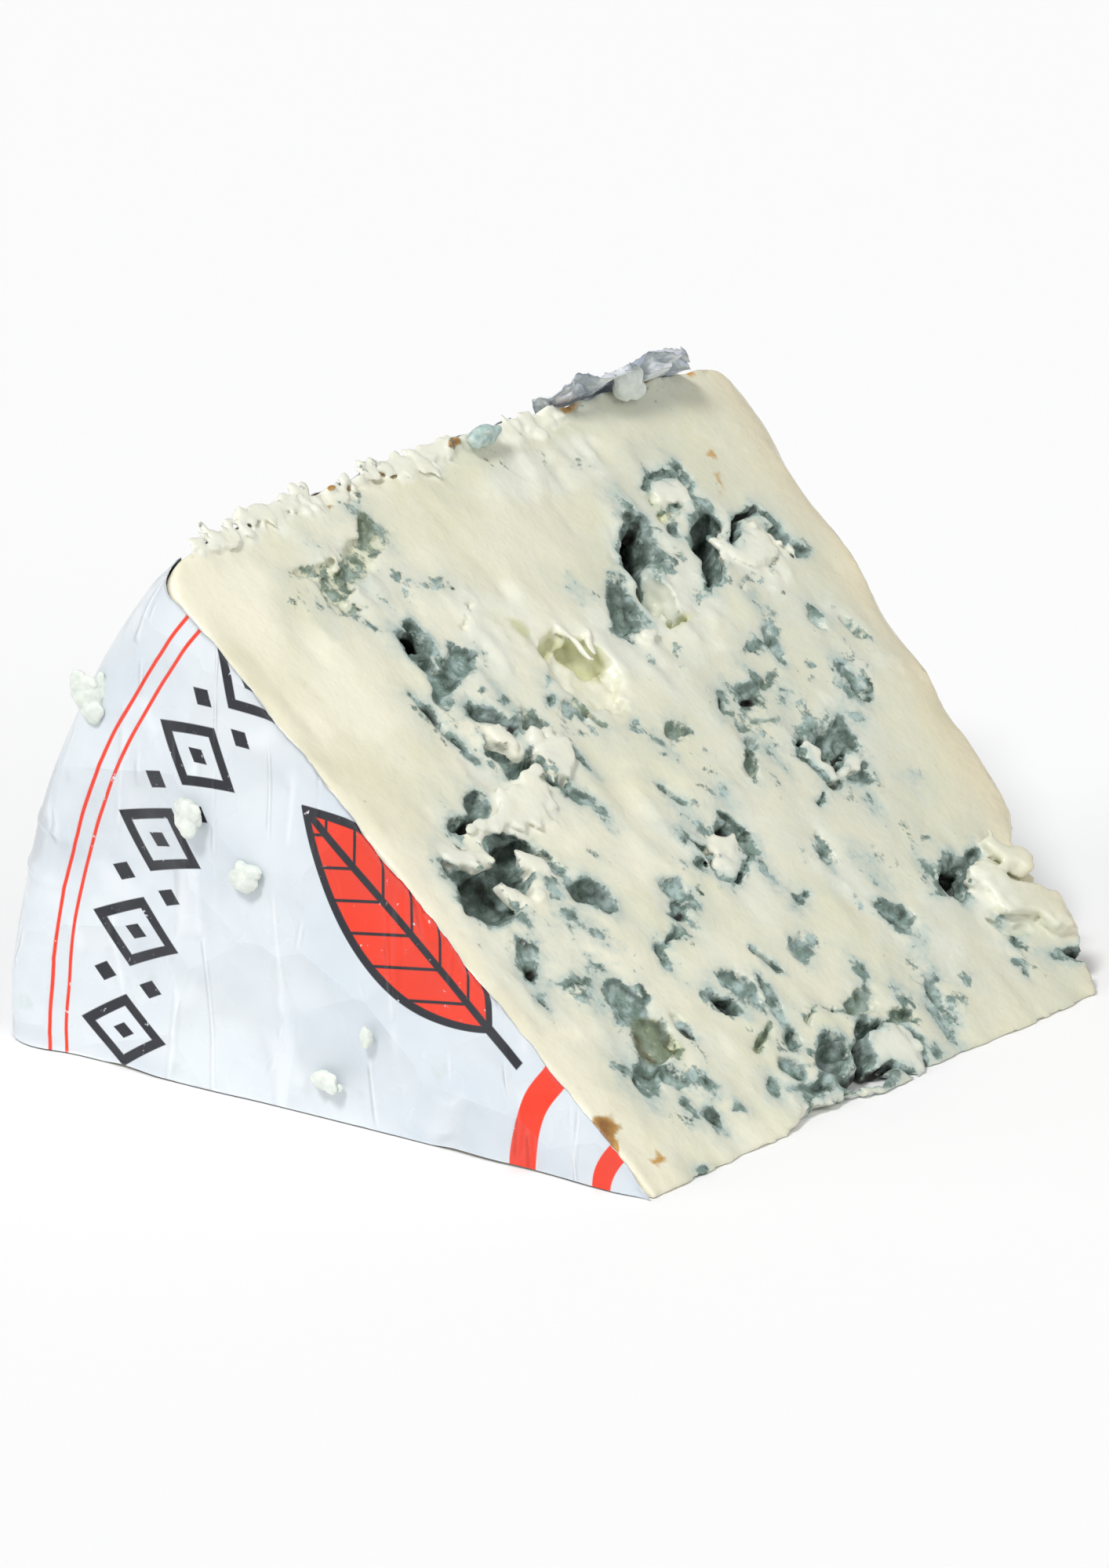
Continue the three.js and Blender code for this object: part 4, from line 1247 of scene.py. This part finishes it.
def cheese_material():
    n = Paste("cheese_paste")
    grown = n.ramp(n.total((n.mould, 0.74), (n.halo, 0.16), (n.jitter, 1.7)), 0.36, 0.6)
    amber = n.shaken(n.amber, 0.7, 0.35, 0.7)
    colour = n.mix(grown, n.mix(amber, n.paste(), AMBER), n.veins())
    # Painted shade: the dark layer takes the colour to near black in deep hollows.
    dark_mould_and_shade = n.shaken(n.dark, 0.7, 0.1, 0.8)
    n.set("Base Color", n.mix(dark_mould_and_shade, colour, n.mix(amber, HOLE_DARK_AND_SHADE, BROWN)))
    rough = n.ramp(n.broad, 0.3, 0.7, 0.27, 0.42)
    n.set("Roughness", n.total((rough, 1), (n.wet, -0.1), (grown, 0.35)))
    n.set("Subsurface Weight", 0.22)
    n.set("Subsurface Radius", (1.0, 0.85, 0.6))
    n.set("Subsurface Scale", 0.001)
    n.bump(n.total((n.mid, 0.3), (n.clouds, 1), (n.math("MULTIPLY", n.speck, grown), 0.7)), 0.0003)
    return n.material


def crumb_material(name, colour, second):
    n = Nodes(name)
    here = n.place()
    n.set("Base Color", n.mix(n.ramp(n.noise(here, 900, 3), 0.35, 0.65), colour, second))
    n.set("Roughness", 0.55)
    n.set("Subsurface Weight", 0.25)
    n.set("Subsurface Radius", (1.0, 0.8, 0.6))
    n.set("Subsurface Scale", 0.0008)
    n.bump(n.noise(here, 1600, 2), 0.0001)
    return n.material


INK_RED = srgb(228, 56, 30)
INK_BLACK = srgb(30, 32, 40)
PAPER = srgb(215, 221, 225)
PAPER_BLUE = srgb(202, 211, 218)
PAPER_CREASE_HIGHLIGHT = srgb(248, 250, 252)
PAPER_SMUDGE = srgb(190, 202, 199)
BAND_MIDDLE = 77.0  # radius of the row of diamonds
BAND_PITCH = math.radians(9.4)
LEAF_BACK, LEAF_UP = 36.5, 26.5  # the leaf's middle, back from the sharp edge and up
LEAF_TURN = math.radians(39)
LEAF_HALF, LEAF_WIDE = 17.0, 7.8  # half length, half width

# The foil's creases, for its bump and its painted highlight: the turn of their direction, their scale and
# their width.
FOIL_CREASES = [
    ((0, 0.9, 0.4), 60, 0.024),
    ((0.4, -0.8, 0), 75, 0.026),
    ((0, 1.4, 0.2), 95, 0.03),
    ((0.3, -1.2, -0.5), 80, 0.026),
]


class Print(Nodes):
    """Plain printed shapes on the wheel's round face, in millimetres."""

    def __init__(self, name):
        super().__init__(name)
        x, y, z = self.axes()
        self.back = self.math("DIVIDE", self.math("SUBTRACT", TIP[0], x), MM)
        self.up = self.math("DIVIDE", self.math("SUBTRACT", z, TIP[2]), MM)
        across = self.math("DIVIDE", self.math("SUBTRACT", y, TIP[1]), MM)
        self.on_face = self.below(across, 1.5)
        square = self.math("ADD", self.math("POWER", self.back, 2), self.math("POWER", self.up, 2))
        self.radius = self.math("SQRT", square)
        self.angle = self.math("ARCTAN2", self.up, self.back)

    def below(self, value, limit, soft=0.1):
        """1 where value is under the limit."""
        return self.ramp(value, limit - soft, limit + soft, 1.0, 0.0)

    def within(self, value, middle, half, soft=0.1):
        return self.below(self.math("ABSOLUTE", self.math("SUBTRACT", value, middle)), half, soft)

    def both(self, *values):
        total = values[0]
        for value in values[1:]:
            total = self.math("MULTIPLY", total, value)
        return total

    def either(self, *values):
        total = values[0]
        for value in values[1:]:
            total = self.math("MAXIMUM", total, value)
        return total

    def diamond(self, along, radial, half_along, half_radial):
        """A diamond's reach: 1 on its outline."""
        first = self.math("DIVIDE", self.math("ABSOLUTE", along), half_along)
        return self.math("ADD", first, self.math("DIVIDE", self.math("ABSOLUTE", radial), half_radial))

    def along_cell(self, shift):
        """Distance along the band from the middle of the nearest cell."""
        cell = self.math("ADD", self.math("DIVIDE", self.angle, BAND_PITCH), shift)
        part = self.math("SUBTRACT", self.math("FRACT", cell), 0.5)
        return self.math("MULTIPLY", part, BAND_PITCH * BAND_MIDDLE)

    def folds(self, turn, scale, width):
        """Long thin ridges that run one way, with gaps where a noise is low."""
        place = self.place(turn=turn, stretch=(1, 1, 0.16))
        aside = self.math("ABSOLUTE", self.math("SUBTRACT", self.noise(place, scale, 0), 0.5))
        gaps = self.ramp(self.noise(self.place(shift=turn), 110, 1), 0.48, 0.6)
        return self.math("MULTIPLY", self.ramp(aside, 0.0, width, 1.0, 0.0), gaps)

    def black_band(self):
        """Open diamonds, with a small solid one inside and two between."""
        radial = self.math("SUBTRACT", self.radius, BAND_MIDDLE)
        along = self.along_cell(0.12)
        frame_line = self.within(self.diamond(along, radial, 3.8, 5.4), 1.0, 0.2, 0.03)
        core = self.below(self.diamond(along, radial, 1.0, 1.6), 1.0, 0.08)
        between = self.along_cell(0.62)
        off = self.math("SUBTRACT", self.math("ABSOLUTE", radial), 3.4)
        pair = self.below(self.diamond(between, off, 1.2, 1.7), 1.0, 0.08)
        return self.either(frame_line, core, pair)

    def leaf(self):
        """A pointed leaf beside the cut edge: its red fill and its black lines."""
        x = self.math("SUBTRACT", self.back, LEAF_BACK)
        y = self.math("SUBTRACT", self.up, LEAF_UP)
        cos, sin = math.cos(LEAF_TURN), math.sin(LEAF_TURN)
        a = self.total((x, cos), (y, sin))
        b = self.total((y, cos), (x, -sin))
        share = self.math("DIVIDE", a, LEAF_HALF)
        bulge = self.math("SUBTRACT", 1.0, self.math("POWER", self.math("ABSOLUTE", share), 2.0))
        bulge = self.math("MULTIPLY", bulge, self.math("SUBTRACT", 1.0, self.math("MULTIPLY", share, 0.22)))
        wide = self.math("MULTIPLY", bulge, LEAF_WIDE)
        beside = self.math("ABSOLUTE", b)
        over = self.math("SUBTRACT", beside, wide)
        fill = self.below(over, 0.0)
        outline = self.within(over, -0.1, 0.62)
        inside = self.below(self.math("ABSOLUTE", a), LEAF_HALF + 0.6)
        rib = self.both(self.below(beside, 0.5), self.below(self.math("ABSOLUTE", a), LEAF_HALF))
        slant = self.total((a, 1), (beside, -0.9))
        part = self.math("SUBTRACT", self.math("FRACT", self.math("DIVIDE", slant, 5.2)), 0.5)
        vein = self.both(self.within(part, 0.0, 0.05, 0.02), fill)
        stalk = self.both(self.below(beside, 0.65), self.within(a, -LEAF_HALF - 2.5, 3.0))
        return fill, self.either(self.both(outline, inside), rib, vein, stalk)


def print_material():
    n = Print("foil_print")
    here = n.place()
    waver = n.math("MULTIPLY", n.math("SUBTRACT", n.noise(here, 90, 1), 0.5), 0.9)
    radius = n.math("ADD", n.radius, waver)
    lines = n.either(n.within(radius, 87.8, 0.24), n.within(radius, 85.6, 0.24))
    rings = n.either(n.within(radius, 18.6, 1.75), n.within(radius, 7.2, 1.3))
    fill, drawn = n.leaf()
    red = n.both(n.on_face, n.either(lines, rings, fill))
    black = n.both(n.on_face, n.either(n.black_band(), drawn))
    paper = n.mix(n.ramp(n.noise(here, 45, 3, 0.6), 0.35, 0.7), PAPER, PAPER_BLUE)
    paper = n.mix(n.ramp(n.noise(here, 130, 4, 0.6), 0.62, 0.72, 0.0, 0.5), paper, PAPER_SMUDGE)
    creased = n.either(*[n.folds(turn, scale, width) for turn, scale, width in FOIL_CREASES])
    # Painted highlight: the paper is lighter along the crease lines.
    paper = n.mix(n.math("MULTIPLY", creased, 0.25), paper, PAPER_CREASE_HIGHLIGHT)
    worn = n.ramp(n.noise(here, 700, 4, 0.7), 0.3, 0.36, 0.0, 1.0)
    colour = n.mix(n.math("MULTIPLY", red, worn), paper, INK_RED)
    colour = n.mix(n.math("MULTIPLY", black, worn), colour, INK_BLACK)
    n.set("Base Color", colour)
    n.set("Roughness", n.ramp(n.noise(here, 120, 2), 0.3, 0.7, 0.2, 0.34))
    height = n.total((n.cells(here, 60), 6.5), (n.noise(here, 90, 2, 0.4), 3.5), (creased, 0.4))
    n.bump(height, 0.0005)
    return n.material


def silver_material():
    n = Nodes("foil_silver")
    here = n.place()
    # Painted shade and highlight: the silver is mottled darker and lighter, standing in for light on crumpled
    # folds.
    folds = n.ramp(n.noise(here, 260, 3, 0.6), 0.42, 0.6)
    n.set("Base Color", n.mix(folds, srgb(176, 186, 200), srgb(236, 240, 246)))
    n.set("Metallic", 0.35)
    n.set("Roughness", 0.32)
    n.bump(n.noise(here, 500, 3, 0.6), 0.0003, 0.6)
    return n.material


def plain_material(name, colour, roughness):
    n = Nodes(name)
    n.set("Base Color", colour)
    n.set("Roughness", roughness)
    return n.material


# ---- Stage ----
def aim(thing, place, target):
    direction = np.array(target) - np.array(place)
    thing.location = place
    flat = math.hypot(direction[0], direction[1])
    thing.rotation_euler = (math.atan2(flat, -direction[2]), 0, math.atan2(-direction[0], direction[1]))


def away(azimuth, elevation, distance):
    """A point that far from the view's centre."""
    flat = math.cos(elevation)
    back = np.array([math.sin(azimuth) * flat, -math.cos(azimuth) * flat, math.sin(elevation)])
    return VIEW_CENTRE + back * distance


def add_camera():
    data = bpy.data.cameras.new("camera")
    data.lens = LENS
    data.sensor_width = 36.0
    data.clip_start = 0.01
    data.clip_end = 50.0
    camera = bpy.data.objects.new("camera", data)
    bpy.context.scene.collection.objects.link(camera)
    aim(camera, away(VIEW_AZIMUTH, VIEW_ELEVATION, VIEW_DISTANCE), VIEW_CENTRE)
    bpy.context.scene.camera = camera


def add_light(name, azimuth, elevation, spread, power):
    """A far, soft studio light. Angles and spread in degrees."""
    data = bpy.data.lights.new(name, "SUN")
    data.angle = math.radians(spread)
    data.energy = power
    light = bpy.data.objects.new(name, data)
    bpy.context.scene.collection.objects.link(light)
    aim(light, away(math.radians(azimuth), math.radians(elevation), 2.0), VIEW_CENTRE)


def stage_piece(name, corners, faces, material):
    mesh = bpy.data.meshes.new(name)
    mesh.from_pydata(corners, [], faces)
    mesh.materials.append(material)
    piece = bpy.data.objects.new(name, mesh)
    bpy.context.scene.collection.objects.link(piece)


def glow_material():
    """The white backdrop, which lights itself."""
    n = Nodes("backdrop")
    n.set("Base Color", (0, 0, 0, 1))
    n.set("Emission Color", (1, 1, 1, 1))
    n.set("Emission Strength", 0.97)
    return n.material


def add_floor():
    """A wide floor, with low walls far off that hide its horizon."""
    side, top = 6.0, 0.45
    square = [(-side, -side), (side, -side), (side, side), (-side, side)]
    corners = [(x, y, 0) for x, y in square] + [(x, y, top) for x, y in square]
    stage_piece("floor", corners[:4], [(0, 1, 2, 3)], plain_material("floor", (0.94, 0.94, 0.94, 1), 0.9))
    walls = [(i, (i + 1) % 4, (i + 1) % 4 + 4, i + 4) for i in range(4)]
    stage_piece("backdrop", corners, walls, glow_material())


def add_sky():
    sky = bpy.data.worlds.new("sky")
    sky.use_nodes = True
    background = sky.node_tree.nodes["Background"]
    background.inputs["Color"].default_value = (1, 1, 1, 1)
    background.inputs["Strength"].default_value = 0.38
    bpy.context.scene.world = sky
    bpy.context.scene.view_settings.view_transform = "Standard"


def add_stage():
    add_floor()
    add_sky()
    add_light("key", 5, 50, 15, 1.95)
    add_light("side", 75, 35, 40, 0.6)
    add_light("left", -50, 30, 40, 0.5)


add_camera()
add_stage()
build_cheese()
build_foil()
build_crumbs()
